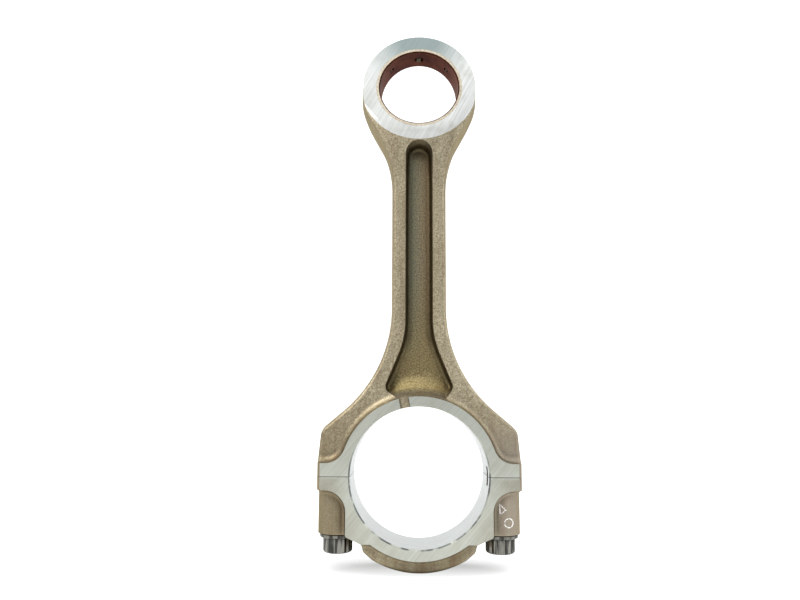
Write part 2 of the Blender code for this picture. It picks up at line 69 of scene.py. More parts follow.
# ---------------------------------------------------------------- sizes from the frame

CRANK = Vector((0, 0, next(j for j in frame["joints"] if j["name"] == "bolt_right_turn")["pos_m"][2]))


def box_mm(node):
    """A CAD node's lowest and highest corners in millimetres from the crank bore's centre."""
    low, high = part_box(node)
    return (low - CRANK) / MM, (high - CRANK) / MM


ROD_LOW, ROD_HIGH = box_mm("rod_body")
CAP_LOW, _ = box_mm("bearing_cap")
BUSH_LOW, BUSH_HIGH = box_mm("small_end_bush")
WASHER_LOW, WASHER_HIGH = box_mm("bolt_washer_right")
BOLT_LOW, BOLT_HIGH = box_mm("cap_bolt_right")

SIDE_X = ROD_HIGH.x
BIG_HALF = ROD_HIGH.y
SPLIT_HALF_GAP = ROD_LOW.z
CENTRES = (BUSH_LOW.z + BUSH_HIGH.z) / 2
EYE_R = ROD_HIGH.z - CENTRES
FOOT_Z = CAP_LOW.z
BUSH_OUTER_R = (BUSH_HIGH.x - BUSH_LOW.x) / 2
BOLT_X = (BOLT_LOW.x + BOLT_HIGH.x) / 2
HEAD_POINT_R = (BOLT_HIGH.x - BOLT_LOW.x) / 2
HEAD_END_Z = BOLT_LOW.z
THREAD_TOP_Z = BOLT_HIGH.z
WASHER_R = (WASHER_HIGH.x - WASHER_LOW.x) / 2
WASHER_TOP_Z, WASHER_LOW_Z = WASHER_HIGH.z, WASHER_LOW.z
STACK_GAP = 0.1
SEAT_Z = WASHER_TOP_Z + STACK_GAP
HEAD_TOP_Z = WASHER_LOW_Z - STACK_GAP

# ---------------------------------------------------------------- other sizes of the part

CRANK_BORE_R = 36.5
BORE_CHAMFER = 0.8
PRESS_GAP = 0.03

DRAFT = math.radians(5.0)
EDGE_R = 1.8
SHANK_HALF_WIDTH = 15.4
SHANK_FOOT_Z = 56.0
SHANK_FOOT_R = 74.0
SHANK_HEAD_Z = 173.1
SHANK_HEAD_R = 60.0
SHANK_HALF = 11.0
PLATEAU_HALF = 12.6
PLATEAU_Z = (34.0, 74.0)

WEB_HALF = 4.0
GROOVE_HALF_WIDTH = 7.6
GROOVE_TOP_Z = 177.4
GROOVE_DRAFT = math.radians(8.0)
GROOVE_FLOOR_R = 2.5
GROOVE_NARROWS_Z = 73.8
GROOVE_NARROWS_R = 50.0
GROOVE_SPREAD = (18.9, 46.6)
GROOVE_SPREAD_R = 4.5
GROOVE_FOOT = (12.0, 37.5)
GROOVE_FOOT_Z = 33.0
WEB_RISE_R = 16.0

EYE_FACE_R = 32.4
EYE_HALF = 11.55
EYE_TAPER = 0.12
EYE_FALL = 0.30
EYE_SIDE_Z = 205.9
EYE_SIDE_R = 34.0
EYE_SHARP_Z = (172.0, 198.0)
BLEND_R = 1.2
BUSH_BORE_R = 22.5
BUSH_CHAMFER = 0.7
TOP_OIL_R = 2.75
SIDE_OIL_R = 1.6

MACHINED_DRAFT = math.radians(8.0)
MACHINED_EDGE_R = 0.3
RING_R = 41.9
RING_STEP_R = 4.6
BOSS_X = 53.4
BOSS_Z = 24.1
BOSS_R = 7.0
SHOULDER_Z = 7.0
SHOULDER_R = 10.5
PAST_SPLIT = 9.0
PAST_SIDE_X = 64.0
OIL_NOTCH_DEG = 101.5
OIL_NOTCH_WIDTH = 5.3
OIL_NOTCH_DEPTH = 1.6

CAP_RING_R = 42.4
CAP_STEP_R = 2.4
STRAP_R = 50.3
STRAP_END_DEG = 300
STRAP_HALF = 13.0
STRAP_FADES_X = (31.0, 36.5)
COLUMN_R = 10.7
COLUMN_FOOT_Z = -33.2
ARCH_TOP_Z = -6.9
ARCH_R = 11.1
WEB_EDGE_X = 38.4
WEB_STEP_X = 30.2
WEB_FOOT_Z = -34.0
WEB_CORNER_Z = -30.3
SEAT_R = 11.2
SHARP_ABOVE = (14.0, 16.8)
SHARP_BELOW_SPLIT = (12.0, 25.0)

BOLT_R = 5.9
BOLT_NECK_R = 5.2
BOLT_FIT_R = 6.05
BOLT_HOLE_R = 6.35
THREAD_HOLE_R = 6.2
THREAD_HOLE_Z = (4.4, 21.5)
FITTED_HOLE_TOP_Z = 4.0
DRILL_POINT = 3.4
THREAD_PITCH = 1.25
THREAD_DEPTH = 0.7
THREAD_END_Z = 4.2
LEAD_IN = 0.6
HEAD_ACROSS_FLATS = 14.0
HEAD_ROUNDING = ((0.0, 1.3), (0.25, 0.75), (0.75, 0.25), (1.4, 0.0))
HEAD_DISH = ((4.3, 0.0), (3.8, 0.5), (0.0, 0.6))
WASHER_BORE_R = 6.6

NOTCH_Y = (-11.0, -5.0)
NOTCH_DEPTH = 1.5
NOTCH_HEIGHT = 5.0

# Etched marks on the front of the right bolt column
MARK_WIDTH = 0.62
MARK_PROUD = 0.04
MARK_THICKNESS = 0.08
MARK_STEP = 0.35
TRIANGLE_MARK = ((42.4, -14.4), (45.7, -17.2), (42.6, -19.5))
RING_MARK_CENTRE = (47.2, -24.0)
RING_MARK_R = 2.3

# Fineness of the forged surfaces
ARC_STEP = math.radians(2.5)
LONGEST_EDGE = 2.2
GRID = 1.7
EDGE_LOOPS = (0.5, *np.arange(0.8, 3.05, 0.2))
RING_LOOPS = (0.0, 0.15, *np.arange(0.35, 5.0, 0.3))
GROOVE_LOOPS = (0.0, *np.arange(0.3, 3.4, 0.22))
CAP_LOOPS = (0.0, 0.15, *np.arange(0.35, 3.2, 0.25))
ROUND = 160

# Where the forging's colours, painted shade and painted highlight change, in metres from the foot, the middle
# and the parting line
GROOVE_MASK_Z = (0.0965, 0.124)
GROOVE_MASK_X = (0.0200, 0.0090)
GROOVE_DEPTH = (11.5 * MM, 8.0 * MM)
GROOVE_SIDES_X = (-5 * MM, 5 * MM)
GROOVE_TINT_Z = (0.11, 0.16)
WEB_RISE_DEPTH = (4.6 * MM, 8.5 * MM)
DARKER_BELOW_Z = (0.092, 0.070)
GREYER_RIGHT_X = (20 * MM, 48 * MM)
GREYER_BELOW_Z = (0.085, 0.06)
NECK_Z = (0.160, 0.205)
LEFT_COLUMN_X = (-39 * MM, -44 * MM)
COLUMN_Z = (0.046, 0.042)

# Where the milled faces' stains lie
SPLIT_STAIN_X = (38 * MM, 46 * MM)
BOLT_STAIN_Z = (0.040, 0.022)
BOLT_STAIN_X = (24 * MM, 36 * MM)

# Camera: where it stands and how it is turned
CAMERA_AT = Vector((-4.75, -388.0, 89.8)) * MM
CAMERA_UP = 0.1434
CAMERA_RIGHT = -0.0153
CAMERA_ROLL = 0.0040
CAMERA_LENS = 31.17
CAMERA_SENSOR = 36.0


# ---------------------------------------------------------------- meshes


def link(obj):
    bpy.context.scene.collection.objects.link(obj)
    return obj


def mesh_object(name, points, edges, faces):
    mesh = bpy.data.meshes.new(name)
    mesh.from_pydata([CRANK + Vector(p) * MM for p in points], edges, faces)
    return link(bpy.data.objects.new(name, mesh))


def shape_object(name, shape):
    """An object that takes over a bmesh shape given in millimetres from the crank bore's centre."""
    bmesh.ops.transform(shape, matrix=Matrix.Translation(CRANK) @ Matrix.Scale(MM, 4), verts=shape.verts)
    mesh = bpy.data.meshes.new(name)
    shape.to_mesh(mesh)
    shape.free()
    return link(bpy.data.objects.new(name, mesh))


def face_outwards(obj):
    shape = bmesh.new()
    shape.from_mesh(obj.data)
    bmesh.ops.recalc_face_normals(shape, faces=shape.faces)
    if shape.calc_volume(signed=True) < 0:
        bmesh.ops.reverse_faces(shape, faces=shape.faces)
    shape.to_mesh(obj.data)
    shape.free()


def apply_modifiers(obj):
    graph = bpy.context.evaluated_depsgraph_get()
    mesh = bpy.data.meshes.new_from_object(obj.evaluated_get(graph))
    obj.modifiers.clear()
    old = obj.data
    obj.data = mesh
    bpy.data.meshes.remove(old)
    mesh.name = obj.name


def combine(obj, others, operation="DIFFERENCE"):
    """Cuts the other shapes from obj, or joins or intersects them, and removes them."""
    for other in others:
        modifier = obj.modifiers.new(other.name, "BOOLEAN")
        modifier.operation = operation
        modifier.solver = "MANIFOLD"
        modifier.object = other
    apply_modifiers(obj)
    for other in others:
        bpy.data.objects.remove(other)


def moved(obj, matrix):
    """The object's mesh moved by a matrix whose shifts are in millimetres from the crank bore's centre."""
    to_crank = Matrix.Translation(CRANK) @ Matrix.Scale(MM, 4)
    obj.data.transform(to_crank @ matrix @ to_crank.inverted())
    return obj


def box(name, low, high):
    low, high = Vector(low), Vector(high)
    shape = bmesh.new()
    placed = Matrix.Translation((low + high) / 2) @ Matrix.Diagonal((*(high - low), 1.0))
    bmesh.ops.create_cube(shape, size=1.0, matrix=placed)
    return shape_object(name, shape)


def cylinder(name, radius, low, high, segments=ROUND):
    shape = bmesh.new()
    placed = Matrix.Translation((0, 0, (low + high) / 2))
    sizes = {"radius1": radius, "radius2": radius, "depth": high - low}
    bmesh.ops.create_cone(shape, cap_ends=True, segments=segments, matrix=placed, **sizes)
    return shape_object(name, shape)


def turned(name, profile, steps=ROUND, closed=False):
    """A turned body about Z from (radius, height) points that run down its outer side."""
    last = len(profile) - 1
    edges = [(k, k + 1) for k in range(last)]
    if closed:
        edges.append((last, 0))
    obj = mesh_object(name, [(r, 0, h) for r, h in profile], edges, [])
    screw = obj.modifiers.new("turn", "SCREW")
    screw.steps = steps
    screw.render_steps = steps
    screw.use_merge_vertices = True
    screw.merge_threshold = 0.01 * MM
    apply_modifiers(obj)
    face_outwards(obj)
    return obj


def soften(obj, sharp_degrees=30.0):
    obj.data.shade_smooth()
    obj.data.set_sharp_from_angle(angle=math.radians(sharp_degrees))


def assign(obj, materials, choose=None):
    """Gives the object its materials. choose(centres, normals), in millimetres, returns each face's index."""
    obj.data.materials.clear()
    for material in materials:
        obj.data.materials.append(material)
    if choose is None:
        return
    count = len(obj.data.polygons)
    centres = np.empty(count * 3)
    normals = np.empty(count * 3)
    obj.data.polygons.foreach_get("center", centres)
    obj.data.polygons.foreach_get("normal", normals)
    centres = (centres.reshape(-1, 3) - np.array(CRANK)) / MM
    index = choose(centres, normals.reshape(-1, 3)).astype(np.int32)
    obj.data.polygons.foreach_set("material_index", index)


# ---------------------------------------------------------------- plane shapes


def rounded(corners):
    """Points of a path through (x, z, radius) corners, each corner turned on its radius."""
    path = []
    for i, (x, z, radius) in enumerate(corners):
        here = np.array([x, z])
        if radius == 0 or i in (0, len(corners) - 1):
            path.append(here)
            continue
        back = np.array(corners[i - 1][:2]) - here
        ahead = np.array(corners[i + 1][:2]) - here
        back = back / np.linalg.norm(back)
        ahead = ahead / np.linalg.norm(ahead)
        opening = math.acos(float(np.clip(back @ ahead, -1.0, 1.0)))
        middle = (back + ahead) / np.linalg.norm(back + ahead)
        centre = here + middle * (radius / math.sin(opening / 2))
        start = here + back * (radius / math.tan(opening / 2)) - centre
        turn = math.pi - opening
        side = back[0] * ahead[1] - back[1] * ahead[0]
        steps = max(3, math.ceil(min(turn / ARC_STEP, turn * radius / 0.4)))
        steps = max(steps, math.ceil(turn * radius / LONGEST_EDGE))
        for k in range(steps + 1):
            angle = turn * k / steps * (-1.0 if side > 0 else 1.0)
            c, s = math.cos(angle), math.sin(angle)
            path.append(centre + np.array([c * start[0] - s * start[1], s * start[0] + c * start[1]]))
    return path


def arc(cx, cz, radius, first, last):
    """Points on an arc, angles in degrees from +X towards +Z."""
    steps = max(2, math.ceil(abs(math.radians(last - first)) * radius / LONGEST_EDGE))
    angles = np.radians(np.linspace(first, last, steps + 1))
    return [np.array([cx + radius * math.cos(a), cz + radius * math.sin(a)]) for a in angles]


def both_sides(half):
    """A closed loop from its +X half, which runs up the +X side and ends at x = 0."""
    mirrored = [np.array([-p[0], p[1]]) for p in reversed(half) if p[0] > 1e-6]
    return np.array([*half, *mirrored])


def spaced(loop):
    """The closed loop with no side longer than the longest edge."""
    out = []
    for a, b in zip(loop, np.roll(loop, -1, axis=0)):
        count = max(1, math.ceil(np.linalg.norm(b - a) / LONGEST_EDGE))
        out += [a + (b - a) * k / count for k in range(count)]
    return np.array(out)


def inset(loop, distance):
    """The anticlockwise loop moved inwards, or outwards for a negative distance."""
    before = loop - np.roll(loop, 1, axis=0)
    after = np.roll(loop, -1, axis=0) - loop
    before /= np.linalg.norm(before, axis=1)[:, None]
    after /= np.linalg.norm(after, axis=1)[:, None]
    along = before + after
    along /= np.linalg.norm(along, axis=1)[:, None]
    inward = np.stack([-along[:, 1], along[:, 0]], axis=1)
    spread = np.clip((before * along).sum(axis=1), 0.5, 1.0)
    return loop + inward * (distance / spread)[:, None]


def inside_distance(points, loop):
    """How far inside the closed loop each point lies, negative outside it."""
    nearest = np.full(len(points), np.inf)
    inside = np.zeros(len(points), bool)
    for a, b in zip(loop, np.roll(loop, -1, axis=0)):
        side = b - a
        along = np.clip((points - a) @ side / (side @ side), 0.0, 1.0)
        nearest = np.minimum(nearest, ((points - a - along[:, None] * side) ** 2).sum(axis=1))
        crosses = (a[1] > points[:, 1]) != (b[1] > points[:, 1])
        if a[1] != b[1]:
            where = a[0] + (points[:, 1] - a[1]) / (b[1] - a[1]) * side[0]
            inside ^= crosses & (points[:, 0] < where)
    nearest = np.sqrt(nearest)
    return np.where(inside, nearest, -nearest)


# ---------------------------------------------------------------- surface profiles


def roll_off(top, distance, draft, radius):
    """Height of a drafted side that rolls over a rounded edge into a top face, by distance from its foot."""
    run = (top - radius * (1 - math.sin(draft))) * math.tan(draft)
    reach = run + radius * math.cos(draft)
    left = np.clip(reach - distance, 0.0, radius)
    rounded_edge = top - radius + np.sqrt(radius**2 - left**2)
    return np.where(distance < run, distance / math.tan(draft), rounded_edge)


def step_down(top, floor, distance, draft, radius):
    """Height of a drafted wall that falls from top to floor with a fillet at its foot."""
    depth = np.maximum(top - floor, 1e-6)
    fillet = np.minimum(radius, depth / (1 - math.sin(draft)))
    run = (depth - fillet * (1 - math.sin(draft))) * math.tan(draft)
    reach = run + fillet * math.cos(draft)
    left = np.clip(reach - distance, 0.0, fillet)
    foot = floor + fillet - np.sqrt(fillet**2 - left**2)
    wall = np.where(distance < run, top - distance / math.tan(draft), foot)
    return np.where(top > floor, wall, top)


def smooth_step(value, low, high):
    t = np.clip((value - low) / (high - low), 0.0, 1.0)
    return t * t * (3 - 2 * t)


def smooth_max(a, b, width):
    return (a + b + np.sqrt((a - b) ** 2 + width**2)) / 2


# ---------------------------------------------------------------- forgings


def grid_points(outline, clear_of):
    """Points of a triangular grid inside the outline, outside the bands that have their own edge loops."""
    low, high = outline.min(axis=0), outline.max(axis=0)
    rows = np.arange(low[1], high[1], GRID * math.sqrt(3) / 2)
    points = [
        (x, z)
        for row, z in enumerate(rows)
        for x in np.arange(low[0] + (row % 2) * GRID / 2, high[0], GRID)
    ]
    points = np.array(points)
    keep = np.ones(len(points), bool)
    for loop, first, last in clear_of:
        distance = inside_distance(points, loop)
        keep &= (distance < first - GRID / 3) | (distance > last + GRID / 3)
    return points[keep]


def flat_mesh(outline, loops, points):
    """Points and triangles of the outline's inside, with the closed loops as edges."""
    points, edges = [Vector(p) for p in points], []
    for path in (outline, *loops):
        first = len(points)
        points += [Vector(p) for p in path]
        edges += [(k - 1, k) for k in range(first + 1, len(points))]
        edges.append((len(points) - 1, first))
    flat, _, triangles, _, _, _ = delaunay_2d_cdt(points, edges, [], 0, 1e-4)
    flat = np.array([tuple(p) for p in flat])
    triangles = np.array([tuple(t) for t in triangles])
    middles = flat[triangles].mean(axis=1)
    triangles = triangles[inside_distance(middles, outline) > 1e-3]
    used, triangles = np.unique(triangles, return_inverse=True)
    return flat[used], triangles.reshape(-1, 3)


def forging(name, outline, loops, points, height):
    """A forging with its parting line on y = 0, along the outline.

    Its front half is the outline's inside lifted to height(points, depth), and a Mirror makes the back half.
    """
    flat, triangles = flat_mesh(outline, loops, points)
    depth = inside_distance(flat, outline)
    at_parting = depth < 2e-3
    triangles = triangles[~at_parting[triangles].all(axis=1)]
    thick = np.where(at_parting, 0.0, height(flat, np.maximum(depth, 0.0)))
    front = [(x, -t, z) for (x, z), t in zip(flat, thick)]
    obj = mesh_object(name, front, [], triangles.tolist())
    mirror = obj.modifiers.new("back_half", "MIRROR")
    mirror.use_axis = (False, True, False)
    mirror.use_mirror_merge = True
    mirror.merge_threshold = 0.001 * MM
    apply_modifiers(obj)
    face_outwards(obj)
    return obj


def rod_outline():
    half = rounded(
        [
            (SIDE_X, -PAST_SPLIT, 0),
            (SIDE_X, SHOULDER_Z, 0),
            (BOSS_X, BOSS_Z, BOSS_R),
            (SHANK_HALF_WIDTH, SHANK_FOOT_Z, SHANK_FOOT_R),
            (SHANK_HALF_WIDTH, SHANK_HEAD_Z, SHANK_HEAD_R),
            (EYE_R, EYE_SIDE_Z, EYE_SIDE_R),
            (EYE_R, CENTRES, 0),
        ]
    )
    return spaced(both_sides(half + arc(0, CENTRES, EYE_R, 0, 90)[1:]))


def groove_outline():
    half = rounded(
        [
            (0.0, GROOVE_FOOT_Z, 0),
            (*GROOVE_FOOT, 0),
            (*GROOVE_SPREAD, GROOVE_SPREAD_R),
            (GROOVE_HALF_WIDTH, GROOVE_NARROWS_Z, GROOVE_NARROWS_R),
            (GROOVE_HALF_WIDTH, GROOVE_TOP_Z, 0),
        ]
    )
    top = arc(0, GROOVE_TOP_Z, GROOVE_HALF_WIDTH, 0, 90)[1:]
    return spaced(both_sides(half + top)[:-1])


def machined_outline():
    """The rod's raised and machined big-end face: a ring that spreads into a shoulder at the split."""
    reach = RING_R + SHOULDER_R
    centre_z = SHOULDER_Z + SHOULDER_R
    centre_x = math.sqrt(reach**2 - centre_z**2)
    meets = math.degrees(math.atan2(centre_z, centre_x))
    half = [np.array([PAST_SIDE_X, -PAST_SPLIT - 3.0]), np.array([PAST_SIDE_X, SHOULDER_Z])]
    half += arc(centre_x, centre_z, SHOULDER_R, 270, 180 + meets)
    half += arc(0, 0, RING_R, meets, 90)[1:]
    return spaced(both_sides(half))


def eye_face(z):
    return EYE_HALF - EYE_TAPER * (z - CENTRES)


def rod_height(points, depth):
    """Half thickness of the rod's forging, before its small-end faces are machined."""
    x, z = points.T
    from_crank = np.hypot(x, z)
    from_pin = np.hypot(x, z - CENTRES)
    body = PLATEAU_HALF + (SHANK_HALF - PLATEAU_HALF) * smooth_step(z, *PLATEAU_Z)
    top = smooth_max(body, eye_face(z) - EYE_FALL * (from_pin - EYE_FACE_R), BLEND_R)
    edge_r = EDGE_R - (EDGE_R - MACHINED_EDGE_R) * smooth_step(z, *EYE_SHARP_Z)
    outside_ring = np.maximum(-inside_distance(points, machined_outline()), 0.0)
    top = np.maximum(top, step_down(BIG_HALF, top, outside_ring, MACHINED_DRAFT, RING_STEP_R))
    rise = np.clip(WEB_RISE_R - np.maximum(from_crank - RING_R, 0.0), 0.0, WEB_RISE_R)
    floor = WEB_HALF + WEB_RISE_R - np.sqrt(WEB_RISE_R**2 - rise**2)
    in_groove = inside_distance(points, groove_outline())
    sunk = step_down(top, np.minimum(floor, top), np.maximum(in_groove, 0.0), GROOVE_DRAFT, GROOVE_FLOOR_R)
    top = np.where((in_groove > 0) & (from_crank > RING_R), sunk, top)
    return roll_off(top, depth, DRAFT, edge_r)


def rod_forging():
    outline, machined, groove = rod_outline(), machined_outline(), groove_outline()
    loops = [inset(outline, d) for d in EDGE_LOOPS]
    loops += [inset(machined, -d) for d in RING_LOOPS]
    loops += [inset(groove, d) for d in GROOVE_LOOPS]
    bands = (
        (outline, -math.inf, EDGE_LOOPS[-1]),
        (machined, -RING_LOOPS[-1], math.inf),
        (groove, 0.0, GROOVE_LOOPS[-1]),
    )
    points = grid_points(outline, bands)
    return forging("rod_forging", outline, loops, points, rod_height)


def cap_outline():
    strap = arc(0, 0, STRAP_R, 270, STRAP_END_DEG)
    corners = [
        (*strap[-1], 0),
        (WEB_STEP_X, -39.4, 4.0),
        (WEB_STEP_X + 1.0, -35.8, 1.2),
        (WEB_EDGE_X + 0.9, COLUMN_FOOT_Z + 1.1, 0.8),
        (BOLT_X + COLUMN_R, COLUMN_FOOT_Z, 2.5),
        (BOLT_X + COLUMN_R, ARCH_TOP_Z - 0.7, 0),
        (SIDE_X, ARCH_TOP_Z + 0.3, 0),
        (SIDE_X, PAST_SPLIT, 0),
    ]
    return spaced(both_sides(strap[:-1] + rounded(corners)))


def cap_machined_outline():
    """The cap's machined face: the ring, a web out to each bolt column and the block beside the split."""
    web_x = math.sqrt(CAP_RING_R**2 - WEB_FOOT_Z**2)
    meets = 360 + math.degrees(math.atan2(WEB_FOOT_Z, web_x))
    half = arc(0, 0, CAP_RING_R, 270, meets)
    web = [(web_x + 0.2, WEB_FOOT_Z, 0), (WEB_STEP_X, WEB_FOOT_Z, 1.0), (WEB_EDGE_X, WEB_CORNER_Z, 1.5)]
    half += rounded([*web, (WEB_EDGE_X, ARCH_TOP_Z - ARCH_R, 0)])
    half += arc(WEB_EDGE_X + ARCH_R, ARCH_TOP_Z - ARCH_R, ARCH_R, 180, 90)[1:]
    half += [np.array([PAST_SIDE_X, ARCH_TOP_Z]), np.array([PAST_SIDE_X, PAST_SPLIT + 3.0])]
    return spaced(both_sides(half))


def cap_height(points, depth):
    x = np.abs(points[:, 0])
    column = np.sqrt(np.maximum(COLUMN_R**2 - (x - BOLT_X) ** 2, 0.0))
    strap = STRAP_HALF * (1 - smooth_step(x, *STRAP_FADES_X))
    outside = np.maximum(-inside_distance(points, cap_machined_outline()), 0.0)
    top = step_down(BIG_HALF, np.maximum(column, strap), outside, MACHINED_DRAFT, CAP_STEP_R)
    sharp = smooth_step(top, *SHARP_ABOVE) * smooth_step(-points[:, 1], *SHARP_BELOW_SPLIT)
    edge_r = EDGE_R - (EDGE_R - MACHINED_EDGE_R) * sharp
    return np.minimum(top, roll_off(np.maximum(top, EDGE_R * 5), depth, DRAFT, edge_r))


def cap_forging():
    outline, machined = cap_outline(), cap_machined_outline()
    loops = [inset(outline, d) for d in EDGE_LOOPS]
    loops += [inset(machined, -d) for d in CAP_LOOPS]
    bands = ((outline, -math.inf, EDGE_LOOPS[-1]), (machined, -CAP_LOOPS[-1], math.inf))
    points = grid_points(outline, bands)
    return forging("cap_forging", outline, loops, points, cap_height)


# ---------------------------------------------------------------- machining

ALONG_Y = Matrix.Rotation(math.radians(90), 4, "X")
PIN = Matrix.Translation((0, 0, CENTRES))


def crank_bore():
    over = 2.0
    wide = CRANK_BORE_R + BORE_CHAMFER + over
    profile = [
        (0, BIG_HALF + over),
        (wide, BIG_HALF + over),
        (CRANK_BORE_R, BIG_HALF - BORE_CHAMFER),
        (CRANK_BORE_R, BORE_CHAMFER - BIG_HALF),
        (wide, -BIG_HALF - over),
        (0, -BIG_HALF - over),
    ]
    return moved(turned("cut_crank_bore", profile, 240), ALONG_Y)


def thread_hole(x):
    """A blind bolt hole in the rod: a lead-in, the fitted bore, the threads and the drill point."""
    profile = [
        (0, THREAD_HOLE_Z[1] + DRILL_POINT),
        (THREAD_HOLE_R, THREAD_HOLE_Z[1]),
        (THREAD_HOLE_R, THREAD_HOLE_Z[0]),
        (BOLT_HOLE_R, FITTED_HOLE_TOP_Z),
        (BOLT_HOLE_R, SPLIT_HALF_GAP + LEAD_IN),
        (BOLT_HOLE_R + LEAD_IN + 4.0, -4.0 + SPLIT_HALF_GAP),
        (0, -4.0 + SPLIT_HALF_GAP),
    ]
    return moved(turned("cut_thread", profile, 64), Matrix.Translation((x, 0, 0)))


def taper_block(side):
    """A block whose near face is the tapered plane of the small end on one side."""
    cutter = box("cut_taper", (-50, 0, -60), (50, 40, 60))
    lean = Matrix.Rotation(math.atan(EYE_TAPER), 4, "X")
    turn = Matrix.Rotation(0 if side > 0 else math.pi, 4, "Z")
    return moved(cutter, Matrix.Translation((0, side * EYE_HALF, CENTRES)) @ turn @ lean)


def oil_drills():
    drills = []
    for radius, degrees in ((TOP_OIL_R, 0), (SIDE_OIL_R, -45), (SIDE_OIL_R, 45)):
        drill = cylinder("cut_oil", radius, 10, 45, 40)
        drills.append(moved(drill, PIN @ Matrix.Rotation(math.radians(degrees), 4, "Y")))
    return drills


def tang_notches():
    low = (CRANK_BORE_R - 3, NOTCH_Y[0], -NOTCH_HEIGHT)
    high = (CRANK_BORE_R + NOTCH_DEPTH, NOTCH_Y[1], NOTCH_HEIGHT)
    return box("cut_tang_notches", low, high)


def oil_notch():
    low = (-OIL_NOTCH_WIDTH / 2, -BIG_HALF - 4, 30.0)
    high = (OIL_NOTCH_WIDTH / 2, -BIG_HALF + OIL_NOTCH_DEPTH, RING_R + 1.2)
    return moved(box("cut_oil_notch", low, high), Matrix.Rotation(math.radians(90.0 - OIL_NOTCH_DEG), 4, "Y"))


def machined_rod():
    rod = rod_forging()
    cutters = [box("cut_below_split", (-80, -40, -30), (80, 40, SPLIT_HALF_GAP)), crank_bore()]
    cutters.append(moved(cylinder("cut_eye_bore", BUSH_OUTER_R + PRESS_GAP, -30, 30), PIN @ ALONG_Y))
    cutters += [taper_block(-1), taper_block(1), thread_hole(-BOLT_X), thread_hole(BOLT_X)]
    combine(rod, [*cutters, oil_notch(), tang_notches(), *oil_drills()])
    return rod


def machined_cap():
    cap = cap_forging()
    cutters = [box("cut_above_split", (-80, -40, -SPLIT_HALF_GAP), (80, 40, 30)), crank_bore()]
    for x in (-BOLT_X, BOLT_X):
        axis = Matrix.Translation((x, 0, 0))
        cutters.append(moved(cylinder("cut_seat", SEAT_R, -45, SEAT_Z, 96), axis))
        cutters.append(moved(cylinder("cut_bolt_hole", BOLT_HOLE_R, -45, 5, 64), axis))
    cutters.append(box("cut_foot", (-30, -40, -60), (30, 40, FOOT_Z)))
    combine(cap, [*cutters, tang_notches()])
    return cap


# ---------------------------------------------------------------- turned pieces


def mark_bore_rims(bush):
    """Gives the edges round both ends of the bore a bevel weight of 1."""
    weights = bush.data.attributes.new("bevel_weight_edge", "FLOAT", "EDGE")
    for edge in bush.data.edges:
        a, b = [(bush.data.vertices[v].co - CRANK) / MM for v in edge.vertices]
        on_bore = max(math.hypot(p.x, p.z - CENTRES) for p in (a, b)) < BUSH_BORE_R + 0.1
        weights.data[edge.index].value = float(on_bore and abs(a.y - b.y) < BUSH_BORE_R / 5)


def pin_bush():
    tube = [(BUSH_OUTER_R, 20), (BUSH_OUTER_R, -20), (BUSH_BORE_R, -20), (BUSH_BORE_R, 20)]
    bush = moved(turned("bush_turned", tube, closed=True), PIN @ ALONG_Y)
    combine(bush, [taper_block(-1), taper_block(1)])
    mark_bore_rims(bush)
    bevel = bush.modifiers.new("chamfer", "BEVEL")
    bevel.width = BUSH_CHAMFER * MM
    bevel.segments = 1
    bevel.limit_method = "WEIGHT"
    apply_modifiers(bush)
    combine(bush, oil_drills())
    return bush


PLAIN_SHANK = (
    (HEAD_TOP_Z - 3.0, BOLT_FIT_R),
    (-28.0, BOLT_FIT_R),
    (-27.0, BOLT_NECK_R),
    (-9.0, BOLT_NECK_R),
    (-8.0, BOLT_FIT_R),
    (1.6, BOLT_FIT_R),
    (2.4, BOLT_NECK_R),
    (3.2, BOLT_NECK_R),
)
THREADED_END = ((THREAD_END_Z, BOLT_R), (THREAD_TOP_Z - 1.1, BOLT_R), (THREAD_TOP_Z, BOLT_R - 1.0))


def shank_radius(z, turn):
    """Radius of a bolt's shank at a height, with a thread whose ridge climbs one pitch a turn."""
    smooth = np.interp(z, *zip(*PLAIN_SHANK, *THREADED_END))
    wave = np.abs(((z / THREAD_PITCH - turn / (2 * math.pi)) % 1.0) * 2 - 1)
    groove = THREAD_DEPTH * np.clip(wave * 1.3 - 0.15, 0.0, 1.0)
    return smooth - groove * smooth_step(z, THREAD_END_Z - 0.6, THREAD_END_Z + 0.6)


def threaded_shank(steps=72):
    threaded = np.arange(THREAD_END_Z - 0.7, THREAD_TOP_Z + 0.01, THREAD_PITCH / 10)
    rows = np.array([*(z for z, _ in PLAIN_SHANK), *threaded])
    turns = np.linspace(0, 2 * math.pi, steps, endpoint=False)
    z, turn = np.meshgrid(rows, turns, indexing="ij")
    r = shank_radius(z, turn)
    points = np.stack([r * np.cos(turn), r * np.sin(turn), z], axis=-1).reshape(-1, 3).tolist()
    faces = []
    last = (len(rows) - 1) * steps
    for low in range(0, last, steps):
        for k in range(steps):
            nearby = (k + 1) % steps
            faces.append((low + k, low + nearby, low + steps + nearby, low + steps + k))
    faces.append(tuple(reversed(range(steps))))
    faces.append(tuple(last + k for k in range(steps)))
    obj = mesh_object("bolt_shank", points, [], faces)
    face_outwards(obj)
    return obj


